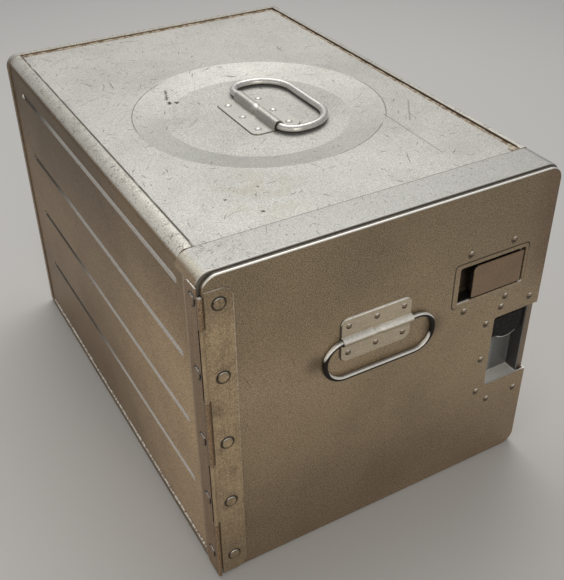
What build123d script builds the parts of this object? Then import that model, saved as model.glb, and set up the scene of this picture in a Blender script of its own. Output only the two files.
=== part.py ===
"""Aluminium galley container: a sheet-metal box with a side-hinged, latched door and two lift handles.

Millimetres, +Z up. The origin is the middle of the underside. The door faces -Y, its hinge is at -X.
"""
import math
import os

from build123d import *

# Outside of the box: door face to rear panel, side to side, underside to front strip
body_w = 282.0
body_d = 405.0
body_h = 268.2
front_y = -body_d / 2
back_y = body_d / 2
side_x = body_w / 2

# Sheets and the rounding of the long edges
skin_t = 1.5
rim_t = 1.2
top_corner_r = 10.0
base_corner_r = 3.0
least_r = 0.5
edge_r = 1.0
fine_edge_r = 0.4
cut_over = 1.0

# Door: its overlay edge in front of the frame, and the plug that fills the opening
door_edge_t = 3.2
door_gap = 0.8
door_corner_r = 11.0
door_left = -side_x + 2.4
door_right = side_x
door_low = 0.5
door_high = body_h - 1.4
plug_x = 132.5
plug_clear = 1.6
plug_depth = 22.0
plug_corner_r = 5.0
pan_t = 1.2
door_skin_back = front_y + skin_t
plug_back = front_y + plug_depth

# Front frame: a channel that takes the edges of the sheets, with a wide strip along the top
frame_front = front_y + door_edge_t + door_gap
frame_back = frame_front + 18.0
frame_strip_back = frame_front + 28.2
frame_lip = 6.8
mouth_corner_r = 4.0
open_x = side_x - frame_lip
open_low = frame_lip
open_high = body_h - frame_lip

# Rear panel and bottom pan: rims that lap outside the sheets
rear_rim_front = back_y - 7.0
base_rim_h = 6.5
base_edge_r = 0.8
sheet_x = side_x - rim_t
sheet_high = body_h - rim_t

# Side panels: raised rails, the joggle under the top panel, and the pressed tray runners
rail_rise = 2.2
rail_high = sheet_high + rail_rise
rail_r = 10.0
rail_gap = 0.5
rail_ramp = 4.0
rail_front = frame_strip_back + rail_gap
rail_rear = rear_rim_front - rail_gap
land_x = 128.6
joggle_x = 118.0
runner_r = 2.5
runner_pitch = 58.5
runner_low = 70.2
runner_count = 4
runner_front = front_y + 37.5
runner_rear = back_y - 44.0

# Top panel and its pressed dish
seam_gap = 0.3
top_front = frame_front + 8.0
dish_x = 1.7
dish_y = -10.7
dish_r = 100.0
dish_floor_r = 73.0
dish_depth = 5.0
dish_bend_r = 2.5
dish_floor_z = sheet_high - dish_depth

# Hinge along the front left edge, its barrel rolled at the meeting of both leaves
leaf_t = 1.0
hinge_x = -side_x + 0.3
hinge_y = front_y - leaf_t
knuckle_r = 1.5
knuckle_clear = 1.3
hinge_pin_r = 0.8
hinge_head = 0.5
hinge_low = 1.4
hinge_high = 254.5
knuckle_len = 57.4
top_knuckle_len = 23.5
knuckle_gap = 0.4
pin_fit = 0.05
door_leaf_edge = -118.3
door_leaf_high = 257.2
side_leaf_edge = front_y + 17.5
side_leaf_high = 260.0
leaf_corner_r = 9.0
leaf_rivet_r = 4.1
leaf_rivet_h = 0.7
leaf_rivet_pitch = 57.1
leaf_rivet_count = 5
door_leaf_rivet_x = -128.4
door_leaf_rivet_low = 18.4
side_leaf_rivet_y = front_y + 7.5
side_leaf_rivet_low = 21.5

# Lift handles: wire radius, half width and reach of the loop, radius of its grip corners, and how far
# the loop has slid along its saddle
wire_clear = 0.35
tunnel_fit = 0.16
saddle_t = 0.9
wire_stop_gap = 19.0
saddle_corner_r = 6.0
wire_out = -2.0
pinch_len = 8.0
pinch_ratio = 0.72
top_wire_r = 3.1
top_loop_half = 49.5
top_loop_reach = 46.0
top_loop_r = 28.0
top_loop_slide = -4.2
top_saddle_l = 66.6
top_saddle_w = 42.0
top_rivet_pitch = 25.3
top_rivet_rows = 27.3
door_wire_r = 1.9
door_loop_half = 44.9
door_loop_reach = 31.3
door_loop_r = 16.0
door_loop_slide = -3.3
door_saddle_l = 57.3
door_saddle_w = 36.0
door_rivet_pitch = 22.6
door_rivet_rows = 22.4
door_handle_x = -12.3
door_handle_z = 182.4
dome_rivet_r = 2.3
dome_rivet_h = 1.2
doubler_t = 2.0
doubler_margin = 6.0
doubler_corner_r = 6.0

# Latch: border in the door skin, finger window, pan behind it, paddle, bolt and keeper
latch_x = 87.3
latch_z = 191.6
latch_border_w = 67.0
latch_border_h = 37.0
window_left = latch_x - 28.7
window_right = latch_x + 31.3
window_h = 30.0
border_gap = 0.3
border_r = 3.0
latch_flange_left = latch_x - 38.2
latch_flange_right = latch_x + 41.8
latch_flange_low = latch_z - 27.9
latch_flange_high = latch_z + 30.1
latch_flange_r = 4.0
latch_cave_right = latch_x + 36.3
cave_corner_r = 1.6
cave_floor_r = 1.5
latch_floor_t = 1.2
latch_floor_back = plug_back - pan_t - latch_floor_t
latch_rivet_x = (66.2, 105.4)
latch_rivet_z = (167.5, 217.0)
paddle_left = latch_x - 16.1
paddle_low = latch_z - window_h / 2 + 0.9
paddle_high = latch_z + window_h / 2 - 2.3
paddle_t = 1.5
paddle_high_r = 5.0
paddle_low_r = 1.2
paddle_gap = 0.4
paddle_lip = 4.0
paddle_lip_inset = 5.0
paddle_knuckle_r = 2.7
paddle_pin_r = 1.2
paddle_pin_x = window_right - paddle_knuckle_r - paddle_gap
paddle_pin_y = front_y + paddle_knuckle_r
arm_len = 12.8
arm_tip_r = 1.6
arm_half_t = 1.0
arm_h = 6.0
bolt_h = 11.0
bolt_front = front_y + 12.5
bolt_back = front_y + 17.9
bolt_tail = latch_x + 18.8
bolt_nose = plug_x + 0.7
bolt_nose_bevel = 1.5
bolt_notch_half = 2.7
bolt_notch_h = 8.0
bolt_fit = 0.2
keeper_fit = 0.6
guide_wall = 3.0
keeper_t = 1.5
keeper_margin = 9.0

# Catch recess at the free edge of the door, with its black pull tab
notch_left = 97.9
notch_low = 82.1
notch_high = 149.0
notch_r = 2.0
catch_t = 1.0
catch_flange = 12.5
catch_depth = 13.2
catch_back = front_y + catch_depth + catch_t
catch_corner_r = 1.5
catch_floor_r = 1.4
catch_rivet_left = 90.3
catch_rivet_x = (102.9, 131.0)
catch_rivet_z = (66.0, 158.5)
catch_rivet_side_z = (79.3, 112.1, 146.8)
tab_gap = 0.9
tab_pin_r = 1.4
tab_pin_y = front_y + 6.0
tab_pin_z = 144.0
tab_barrel_r = 3.2
tab_t = 4.0
tab_low = 122.7
tab_lip = 4.0
tab_lip_r = 16.0
tab_lip_share = 0.53
tab_corner_r = 2.0
tab_edge_r = 1.0

# Seal on the back of the door's edge, bearing on the frame
seal_w = 2.4
seal_inset = 1.9
seal_clear = 0.1


def slab(outline, y_low, y_high):
    """Extrude an outline drawn in X and Z from y_low to y_high."""
    return extrude(Plane.XZ.offset(-y_high) * outline, y_high - y_low)


def block(x_low, x_high, y_low, y_high, z_low, z_high):
    """Box between two corners."""
    size = Box(x_high - x_low, y_high - y_low, z_high - z_low)
    return Pos((x_low + x_high) / 2, (y_low + y_high) / 2, (z_low + z_high) / 2) * size


def rect(x_low, x_high, z_low, z_high, r=0.0):
    """Rectangle in X and Z, with rounded corners where r is given."""
    wide = x_high - x_low
    tall = z_high - z_low
    shape = RectangleRounded(wide, tall, r) if r else Rectangle(wide, tall)
    return Pos((x_low + x_high) / 2, (z_low + z_high) / 2) * shape


def upright(x, y, r, z_low, z_high):
    """Upright cylinder."""
    return Pos(x, y, (z_low + z_high) / 2) * Cylinder(r, z_high - z_low)


def body_outline(inset, high=body_h, corner_r=top_corner_r):
    """Cross-section of the box, square at its foot and round along its top edges."""
    shape = rect(-side_x + inset, side_x - inset, inset, high - inset)
    top = shape.vertices().group_by(Axis.Y)[-1]
    shape = fillet(top, corner_r - inset)
    foot = shape.vertices().group_by(Axis.Y)[0]
    return fillet(foot, max(base_corner_r - inset, least_r))


def rail_outline(inset, high):
    """Cross-section of the box behind the front strip, with its raised and tighter top edges."""
    return body_outline(inset, high, rail_r + rim_t)


def opening_outline(grow):
    """Mouth of the front frame, grown outward by grow."""
    return rect(-open_x - grow, open_x + grow, open_low - grow, open_high + grow, mouth_corner_r + grow)


def dome(r, h):
    """Low domed rivet head on Z = 0."""
    ball_r = (r * r + h * h) / (2 * h)
    edge = math.degrees(math.asin(r / ball_r))
    arc = CenterArc((0, h - ball_r), ball_r, 90 - edge, edge)
    outline = make_face(Curve() + [arc, Line((0, h), (0, 0)), Line((0, 0), (r, 0))])
    return revolve(Plane.XZ * outline, Axis.Z)


def group(solids):
    """One compound of separate solids."""
    return Compound(children=list(solids))


def bolt_opening(x_low, x_high, grow):
    """Square passage for the latch bolt through a wall, grown by grow on all sides."""
    half = bolt_h / 2 + grow
    return block(x_low, x_high, bolt_front - grow, bolt_back + grow, latch_z - half, latch_z + half)


def make_front_frame():
    """Channel round the mouth: outer wall, front lip, inner wall, and the wide top strip."""
    ring = body_outline(0) - body_outline(rim_t)
    strip = ring - rect(-side_x, side_x, 0, body_h - top_corner_r)
    frame = slab(body_outline(0), frame_front, frame_back)
    frame = fillet(frame.faces().sort_by(Axis.Y)[0].edges(), edge_r)
    frame -= slab(body_outline(rim_t), frame_front + skin_t, frame_back + cut_over)
    frame -= slab(opening_outline(0), frame_front - cut_over, frame_front + skin_t + cut_over)
    frame += slab(strip, frame_back - cut_over, frame_strip_back)
    frame += slab(opening_outline(rim_t) - opening_outline(0), frame_front + skin_t, frame_back)
    return frame - bolt_opening(open_x - cut_over, open_x + rim_t + cut_over, keeper_fit)


def make_latch_keeper():
    """Doubler on the frame's inner wall, with the pocket that the bolt enters."""
    x_low = open_x + rim_t
    half = bolt_h / 2 + keeper_margin
    plate = block(x_low, x_low + keeper_t, frame_front + skin_t, frame_back, latch_z - half, latch_z + half)
    return plate - bolt_opening(x_low - cut_over, x_low + keeper_t + cut_over, keeper_fit)


def make_side_panel(side):
    """Side sheet folded over into a raised rail, joggled under the top panel, with runners pressed in.

    At its ends the rail drops to pass under the front strip and into the rear rim. Its front end is
    eased down to the strip.
    """
    inside = rect(-land_x, side_x, 0, 2 * body_h)
    inside += rect(-sheet_x + skin_t, side_x, 0, 2 * base_corner_r)
    low_inside = body_outline(rim_t + skin_t)
    rail_outside = rail_outline(rim_t, rail_high + rim_t)
    low = body_outline(rim_t) - low_inside - inside
    rail = rail_outside - rail_outline(rim_t + skin_t, rail_high + rim_t) - inside
    tail = rail_outline(rim_t, rail_high) - rail_outline(rim_t + skin_t, rail_high) - inside
    seat_low = sheet_high - 2 * skin_t
    seat_high = sheet_high - skin_t
    step = rect(-land_x - 3 * skin_t, -joggle_x, seat_low, seat_high)
    hook = rect(-land_x - skin_t, -land_x, seat_low, rail_high)
    hook += rect(-land_x, -joggle_x, seat_low, seat_high)
    panel = slab(low + step, frame_front + skin_t, rail_front)
    panel += slab(rail_outside - low_inside - inside, rail_front, rail_front + skin_t)
    panel += slab(rail + hook, rail_front, rail_rear)
    panel += slab(tail, rail_rear - skin_t, back_y - rim_t)
    panel -= rail_ramp_wedge()
    length = runner_rear - runner_front
    middle = (runner_rear + runner_front) / 2
    outside = block(-2 * side_x, -sheet_x, front_y, back_y, 0, body_h)
    for index in range(runner_count):
        place = Pos(-sheet_x, middle, runner_low + index * runner_pitch)
        panel += place * pressed_rib(runner_r + skin_t, length) - outside
        panel -= place * pressed_rib(runner_r, length)
    return panel if side < 0 else mirror(panel, Plane.YZ)


def rail_ramp_wedge():
    """Wedge that eases the front end of the rail down to the height of the front strip."""
    corners = [(rail_front, body_h), (rail_front + rail_ramp, rail_high), (rail_front, rail_high)]
    return extrude(Plane.YZ * make_face(Polyline(*corners, close=True)), -side_x)


def pressed_rib(r, length):
    """Round bar along Y with ball ends, the form of a pressed runner."""
    half = length / 2
    bend = r * math.sqrt(0.5)
    outline = Curve() + [
        Line((-half - r, 0), (half + r, 0)),
        ThreePointArc((half + r, 0), (half + bend, bend), (half, r)),
        Line((half, r), (-half, r)),
        ThreePointArc((-half, r), (-half - bend, bend), (-half - r, 0)),
    ]
    return Rot(0, 0, 90) * revolve(make_face(outline), Axis.X)


def make_top_panel():
    """Flat sheet between the lands, with a shallow round dish for the handle."""
    low = sheet_high - skin_t
    edge_x = land_x - seam_gap
    sheet = block(-edge_x, edge_x, top_front, back_y - rim_t, low, sheet_high)
    rim_r = dish_r + 2 * dish_bend_r
    slope = math.atan2(dish_depth, dish_r - dish_floor_r)
    shift = skin_t * math.tan(slope / 2)
    upper = [(0, -dish_depth), (dish_floor_r, -dish_depth), (dish_r, 0), (rim_r, 0)]
    lower = [(rim_r, -skin_t), (dish_r + shift, -skin_t)]
    lower += [(dish_floor_r + shift, -dish_depth - skin_t), (0, -dish_depth - skin_t)]
    section = make_face(Polyline(*upper, *lower, close=True))
    bends = section.vertices().filter_by(lambda v: 0 < round(v.X, 3) < round(rim_r, 3))
    section = fillet(bends, dish_bend_r)
    dish = Pos(dish_x, dish_y, sheet_high) * revolve(Plane.XZ * section, Axis.Z)
    hole = upright(dish_x, dish_y, rim_r, low - dish_depth, sheet_high + cut_over)
    return sheet - hole + dish


def make_bottom_pan():
    """Floor sheet with a rim turned up outside each side panel."""
    left_rim = rect(-side_x, -sheet_x, 0, base_rim_h)
    right_rim = rect(sheet_x, side_x, 0, base_rim_h)
    section = rect(-side_x, side_x, 0, rim_t) + left_rim + right_rim
    corners = section.vertices().group_by(Axis.Y)[0]
    return slab(fillet(corners, base_edge_r), frame_back, rear_rim_front)


def make_rear_panel():
    """Back sheet with a rim turned forward over the other sheets, and down onto the top panel."""
    panel = slab(rail_outline(0, rail_high), rear_rim_front, back_y)
    panel = fillet(panel.faces().sort_by(Axis.Y)[-1].edges(), edge_r)
    panel -= slab(rail_outline(rim_t, rail_high), rear_rim_front - cut_over, back_y - rim_t)
    edge_x = land_x - seam_gap
    lip = rect(-edge_x, edge_x, sheet_high, rail_high - rim_t / 2)
    return panel + slab(lip, rear_rim_front, rear_rim_front + rim_t)


def hinge_spans():
    """Heights of the knuckles from the top down, the first one on the side leaf."""
    cuts = [hinge_high, hinge_high - top_knuckle_len]
    while cuts[-1] - knuckle_len > hinge_low + top_knuckle_len:
        cuts.append(cuts[-1] - knuckle_len)
    cuts.append(hinge_low)
    return list(zip(cuts[1:], cuts[:-1]))


def make_hinge_leaf(plate, own, other):
    """Leaf plate with its own knuckles rolled on and room for the other leaf's."""
    bore_r = hinge_pin_r + pin_fit
    for low, high in own:
        gap = knuckle_gap / 2
        plate += upright(hinge_x, hinge_y, knuckle_r, low + gap, high - gap)
    for low, high in other:
        gap = knuckle_gap / 2
        plate -= upright(hinge_x, hinge_y, knuckle_r + knuckle_clear, low - gap, high + gap)
    return plate - upright(hinge_x, hinge_y, bore_r, hinge_low - cut_over, hinge_high + cut_over)


def make_hinge_door_leaf():
    """Leaf on the door face, round at its free corners."""
    flat = rect(hinge_x, door_leaf_edge, hinge_low, door_leaf_high)
    free = flat.vertices().group_by(Axis.X)[-1]
    plate = slab(fillet(free, leaf_corner_r), front_y - leaf_t, front_y)
    rim = plate.faces().sort_by(Axis.Y)[0].edges().sort_by(Axis.X)[1:]
    plate = fillet(rim, fine_edge_r)
    cut_back = hinge_x + 2 * knuckle_r
    plate -= block(-2 * side_x, cut_back, 2 * front_y, front_y, hinge_high, 2 * body_h)
    spans = hinge_spans()
    return make_hinge_leaf(plate, spans[1::2], spans[0::2])


def make_hinge_side_leaf():
    """Leaf on the side of the frame, pinned to it."""
    plate = block(-side_x - leaf_t, -side_x, hinge_y, side_leaf_edge, hinge_low, side_leaf_high)
    free = plate.edges().filter_by(Axis.X).group_by(Axis.Y)[-1]
    plate = fillet(free, leaf_corner_r / 2)
    rim = plate.faces().sort_by(Axis.X)[0].edges().sort_by(Axis.Y)[1:]
    plate = fillet(rim, fine_edge_r)
    cut_back = hinge_y + 2 * knuckle_r
    plate -= block(-2 * side_x, -side_x, 2 * front_y, cut_back, hinge_high, 2 * body_h)
    spans = hinge_spans()
    return make_hinge_leaf(plate, spans[0::2], spans[1::2])


def make_hinge_pin():
    """Pin through all knuckles, with a low head at its top end."""
    pin = upright(hinge_x, hinge_y, hinge_pin_r, hinge_low, hinge_high)
    return pin + upright(hinge_x, hinge_y, hinge_pin_r + hinge_head, hinge_high, hinge_high + hinge_head)


def leaf_rivet():
    """Large flat rivet head with a bevelled rim, on Z = 0."""
    head = Pos(0, 0, leaf_rivet_h / 2) * Cylinder(leaf_rivet_r, leaf_rivet_h)
    return chamfer(head.faces().sort_by(Axis.Z)[-1].edges(), leaf_rivet_h / 2)


def make_leaf_rivets(place, low):
    """Row of flat rivets up one hinge leaf, from low; place gives the plane at a height."""
    heights = [low + index * leaf_rivet_pitch for index in range(leaf_rivet_count)]
    return group(place(height) * leaf_rivet() for height in heights)


def door_leaf_plane(z):
    """Plane on the front of the door leaf."""
    return Plane((door_leaf_rivet_x, front_y - leaf_t, z), x_dir=(1, 0, 0), z_dir=(0, -1, 0))


def side_leaf_plane(z):
    """Plane on the outside of the side leaf."""
    return Plane((-side_x - leaf_t, side_leaf_rivet_y, z), x_dir=(0, -1, 0), z_dir=(-1, 0, 0))


def door_plane(x, z):
    """Plane on the door face, with local Y pointing down."""
    return Plane((x, front_y, z), x_dir=(-1, 0, 0), z_dir=(0, -1, 0))


def top_handle_plane():
    """Plane on the floor of the dish, with local Y pointing right."""
    return Plane((dish_x, dish_y, dish_floor_z), x_dir=(0, -1, 0), z_dir=(0, 0, 1))


def make_loop(wire_r, half, reach, grip_r, saddle_l, slide):
    """Handle loop: its two ends lie in the saddle's tunnel, its grip has rounder corners."""
    stop = wire_stop_gap / 2
    bend_r = half - saddle_l / 2 - wire_out - abs(slide)
    points = [(stop, 0), (half, 0), (half, reach), (-half, reach), (-half, 0), (-stop, 0)]
    path = FilletPolyline(*points, radius=[bend_r, grip_r, grip_r, bend_r])
    section = Plane((stop, 0, 0), x_dir=(0, 1, 0), z_dir=(1, 0, 0)) * Circle(wire_r)
    return Pos(slide, 0, wire_r + wire_clear) * sweep(section, path=path)


def tunnel(r, waist_r, length, height):
    """Round-topped tunnel on the plane, drawn in to waist_r at mid length."""
    half = length / 2
    pinch = pinch_len / 2
    sides = [(-half, r), (-pinch, r), (-pinch / 3, waist_r), (pinch / 3, waist_r), (pinch, r), (half, r)]
    section = make_face(Polyline((-half, 0), *sides, (half, 0), close=True))
    crown = Pos(0, 0, height) * revolve(section, Axis.X)
    walls = extrude(section + mirror(section, Plane.XZ), height)
    return (crown + walls) & Pos(0, 0, 2 * r) * Box(length, 4 * r, 4 * r)


def make_saddle(wire_r, length, width):
    """Riveted hat-section bracket: two flanges and a tunnel that is pinched between the wire ends."""
    height = wire_r + wire_clear
    bore_r = wire_r * (1 + tunnel_fit)
    plate = extrude(RectangleRounded(length, width, saddle_corner_r), saddle_t)
    outer = tunnel(bore_r + saddle_t, pinch_ratio * bore_r + saddle_t, length, height)
    inner = tunnel(bore_r, pinch_ratio * bore_r, length + 2 * cut_over, height)
    return plate + outer - inner


def make_saddle_rivets(pitch, rows):
    """Two rows of three domed rivets on the saddle's flanges."""
    spots = [(x * pitch, y * rows / 2) for x in (-1, 0, 1) for y in (-1, 1)]
    return group(Pos(x, y, saddle_t) * dome(dome_rivet_r, dome_rivet_h) for x, y in spots)


def make_doubler():
    """Stiffening plate under the dish that the top handle's rivets go through."""
    length = top_saddle_l + 2 * doubler_margin
    width = top_saddle_w + 2 * doubler_margin
    plate = extrude(RectangleRounded(width, length, doubler_corner_r), -doubler_t)
    return Pos(dish_x, dish_y, dish_floor_z - skin_t) * plate


def door_outline(inset):
    """Outline of the door's overlay edge."""
    return rect(
        door_left + inset, door_right - inset, door_low + inset, door_high - inset, door_corner_r - inset)


def notch_block(y_low, y_high):
    """Space of the catch recess, running out through the door's free edge."""
    outline = rect(notch_left, side_x + 2 * notch_r, notch_low, notch_high, notch_r)
    return slab(outline, y_low, y_high)


def latch_border(shrink):
    """Outline of the latch border, or of its cut-out in the skin."""
    half_w = latch_border_w / 2 - shrink
    half_h = latch_border_h / 2 - shrink
    return rect(latch_x - half_w, latch_x + half_w, latch_z - half_h, latch_z + half_h, border_r - shrink)


def make_door_skin():
    """Door face with a rim turned back all round, cut for the latch and notched for the catch."""
    skin = slab(door_outline(0), front_y, front_y + door_edge_t)
    skin = fillet(skin.faces().sort_by(Axis.Y)[0].edges(), edge_r)
    skin -= slab(door_outline(skin_t), door_skin_back, front_y + door_edge_t + cut_over)
    skin -= slab(latch_border(0), front_y - cut_over, door_skin_back + cut_over)
    return skin - notch_block(front_y - cut_over, front_y + door_edge_t + cut_over)


def plug_outline(inset):
    """Outline of the plug behind the door face."""
    low = open_low + plug_clear + inset
    high = open_high - plug_clear - inset
    return rect(-plug_x + inset, plug_x - inset, low, high, plug_corner_r - inset)


def make_door_inner_pan():
    """Tray that closes the back of the door, cut at its edge for the bolt and the catch recess."""
    pan = slab(plug_outline(0), door_skin_back, plug_back)
    pan -= slab(plug_outline(pan_t), door_skin_back - cut_over, plug_back - pan_t)
    pan -= bolt_opening(plug_x - pan_t - cut_over, plug_x + cut_over, bolt_fit)
    low = notch_low - catch_t
    high = notch_high + catch_t
    return pan - block(plug_x - pan_t, plug_x + cut_over, front_y, catch_back, low, high)


def make_door_core():
    """Foam filling between skin and inner pan, pocketed for the latch and the catch."""
    core = slab(plug_outline(pan_t), door_skin_back, plug_back - pan_t)
    flange_back = door_skin_back + rim_t
    core -= slab(latch_flange(), door_skin_back - cut_over, flange_back)
    core -= slab(latch_cave(latch_floor_t), door_skin_back, latch_floor_back)
    core -= guide_block()
    core -= slab(catch_flange_outline(), door_skin_back - cut_over, door_skin_back + catch_t)
    pocket = rect(notch_left - catch_t, plug_x, notch_low - catch_t, notch_high + catch_t)
    return core - slab(pocket, door_skin_back - cut_over, catch_back)


def make_door_seal():
    """Rubber strip round the back of the door's edge, left out at the notch."""
    ring = door_outline(seal_inset) - door_outline(seal_inset + seal_w)
    seal = slab(ring, door_skin_back, frame_front - seal_clear)
    margin = catch_flange + 1
    return seal - block(notch_left, side_x, front_y, frame_back, notch_low - margin, notch_high + margin)


def latch_flange():
    """Outline of the latch pan's flange behind the door skin."""
    return rect(latch_flange_left, latch_flange_right, latch_flange_low, latch_flange_high, latch_flange_r)


def latch_cave(grow):
    """Outline of the finger space behind the latch window."""
    low = latch_z - window_h / 2 - grow
    high = latch_z + window_h / 2 + grow
    return rect(window_left - grow, latch_cave_right + grow, low, high, cave_corner_r + grow)


def make_latch_pan():
    """Border flush with the door face, flange behind the skin, and a rounded finger pan."""
    window = rect(window_left, window_right, latch_z - window_h / 2, latch_z + window_h / 2, cave_corner_r)
    flange_back = door_skin_back + rim_t
    pan = slab(latch_border(border_gap) - window, front_y, flange_back)
    pan = fillet(pan.faces().sort_by(Axis.Y)[0].inner_wires()[0].edges(), fine_edge_r)
    back = slab(latch_flange(), door_skin_back, flange_back)
    back += slab(latch_cave(latch_floor_t), door_skin_back, latch_floor_back)
    pan += back - slab(window, front_y - cut_over, flange_back + cut_over)
    cave = slab(latch_cave(0), flange_back, latch_floor_back - latch_floor_t)
    floor_edges = cave.faces().sort_by(Axis.Y)[-1].edges()
    pan -= fillet(floor_edges, cave_floor_r)
    wall_back = latch_cave_right + latch_floor_t
    pan -= bolt_opening(latch_cave_right - cave_floor_r, wall_back + cut_over, bolt_fit)
    reach = window_h / 2 + latch_floor_t
    return pan - upright(paddle_pin_x, paddle_pin_y, paddle_pin_r, latch_z - reach, latch_z + reach)


def make_paddle_pin():
    """Upright pin that the paddle turns on, held in the pan's top and bottom walls."""
    reach = window_h / 2 + latch_floor_t
    return upright(paddle_pin_x, paddle_pin_y, paddle_pin_r, latch_z - reach, latch_z + reach)


def make_latch_paddle():
    """Flush plate rolled round its pin, with an arm that reaches back into the bolt."""
    low = paddle_low
    high = paddle_high
    face = rect(paddle_left, paddle_pin_x, low, high)
    bore = upright(paddle_pin_x, paddle_pin_y, paddle_pin_r + pin_fit, low - cut_over, high + cut_over)
    face = fillet(face.vertices().group_by(Axis.X)[0].sort_by(Axis.Y)[0], paddle_low_r)
    face = fillet(face.vertices().group_by(Axis.X)[0].sort_by(Axis.Y)[-1], paddle_high_r)
    paddle = slab(face, front_y, front_y + paddle_t)
    rim = paddle.faces().sort_by(Axis.Y)[0].edges().sort_by(Axis.X)[:-1]
    paddle = fillet(rim, fine_edge_r)
    paddle += upright(paddle_pin_x, paddle_pin_y, paddle_knuckle_r, low, high)
    lip_low = low + paddle_lip_inset
    lip_high = high - paddle_lip_inset
    paddle += block(paddle_left, paddle_left + paddle_t, front_y, front_y + paddle_lip, lip_low, lip_high)
    arm_low = latch_z - arm_h / 2
    arm_high = latch_z + arm_h / 2
    tip_y = paddle_pin_y + arm_len
    arm_left = paddle_pin_x - arm_half_t
    arm_right = paddle_pin_x + arm_half_t
    arm = block(arm_left, arm_right, paddle_pin_y, tip_y, arm_low, arm_high)
    arm += upright(paddle_pin_x, tip_y, arm_tip_r, arm_low, arm_high)
    paddle += arm
    return paddle - bore


def make_latch_bolt():
    """Flat bolt, bevelled at its nose, notched for the paddle's arm."""
    bolt = block(bolt_tail, bolt_nose, bolt_front, bolt_back, latch_z - bolt_h / 2, latch_z + bolt_h / 2)
    nose = bolt.faces().sort_by(Axis.X)[-1].edges().filter_by(Axis.Z).sort_by(Axis.Y)[-1]
    bolt = chamfer(nose, bolt_nose_bevel)
    left = paddle_pin_x - bolt_notch_half
    right = paddle_pin_x + bolt_notch_half
    half = bolt_notch_h / 2
    low = latch_z - half
    high = latch_z + half
    return bolt - block(left, right, bolt_front - cut_over, bolt_back + cut_over, low, high)


def guide_block():
    """Outside of the block that guides the bolt through the core."""
    half = bolt_h / 2 + guide_wall
    x_low = latch_cave_right + latch_floor_t
    y_low = bolt_front - guide_wall
    return block(x_low, plug_x - pan_t, y_low, plug_back - pan_t, latch_z - half, latch_z + half)


def make_bolt_guide():
    """Guide block between the latch pan and the edge of the door."""
    return guide_block() - bolt_opening(latch_cave_right, plug_x, bolt_fit)


def make_latch_rivets():
    """Domed rivets at the corners of the latch pan's flange."""
    spots = [(x, z) for x in latch_rivet_x for z in latch_rivet_z]
    return group(door_plane(x, z) * dome(dome_rivet_r, dome_rivet_h) for x, z in spots)


def catch_flange_outline():
    """Outline of the catch pan's flange behind the door skin, kept clear of the plug's edge."""
    low = notch_low - catch_t - catch_flange
    high = notch_high + catch_flange
    return rect(notch_left - catch_t - catch_flange, plug_x - pan_t, low, high)


def make_catch_pan():
    """Open box set into the notch, flanged behind the skin, its right wall in the plug's edge."""
    low = notch_low - catch_t
    high = notch_high + catch_t
    box = rect(notch_left - catch_t, plug_x, low, high)
    pan = slab(box, door_skin_back, catch_back)
    pan += slab(catch_flange_outline(), door_skin_back, door_skin_back + catch_t)
    cavity = rect(notch_left, plug_x - pan_t, notch_low, notch_high, catch_corner_r)
    hollow = slab(cavity, front_y - cut_over, catch_back - catch_t)
    back_edges = hollow.faces().sort_by(Axis.Y)[-1].edges()
    pan -= fillet(back_edges, catch_floor_r)
    return pan - make_tab_pin()


def make_tab_pin():
    """Level pin across the top of the recess."""
    x_low = notch_left - catch_t
    length = plug_x - x_low
    return Pos(x_low + length / 2, tab_pin_y, tab_pin_z) * (Rot(0, 90, 0) * Cylinder(tab_pin_r, length))


def make_pull_tab():
    """Moulded tab rolled round its pin, with a half-round thumb lip under its lower edge."""
    left = notch_left + tab_gap
    right = plug_x - pan_t - tab_gap
    face = rect(left, right, tab_low + tab_lip, tab_pin_z)
    lip = Pos(left + tab_lip_share * (right - left), tab_low + tab_lip_r) * Circle(tab_lip_r)
    face += lip & rect(left, right, tab_low, tab_pin_z)
    low = face.vertices().filter_by(lambda v: v.Y < tab_pin_z - tab_barrel_r)
    face = fillet(low, tab_corner_r)
    tab = slab(face, tab_pin_y - tab_barrel_r, tab_pin_y - tab_barrel_r + tab_t)
    front_edges = tab.faces().sort_by(Axis.Y)[0].edges().sort_by(Axis.Z)[:-1]
    tab = fillet(front_edges, tab_edge_r)
    middle = (left + right) / 2
    place = Pos(middle, tab_pin_y, tab_pin_z) * Rot(0, 90, 0)
    barrel = place * Cylinder(tab_barrel_r, right - left)
    bore = place * Cylinder(tab_pin_r + pin_fit, right - left + 2 * cut_over)
    return tab + barrel - bore


def make_catch_rivets():
    """Domed rivets round the three closed sides of the notch."""
    spots = [(x, z) for x in catch_rivet_x for z in catch_rivet_z]
    spots += [(catch_rivet_left, z) for z in catch_rivet_side_z]
    return group(door_plane(x, z) * dome(dome_rivet_r, dome_rivet_h) for x, z in spots)


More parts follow.
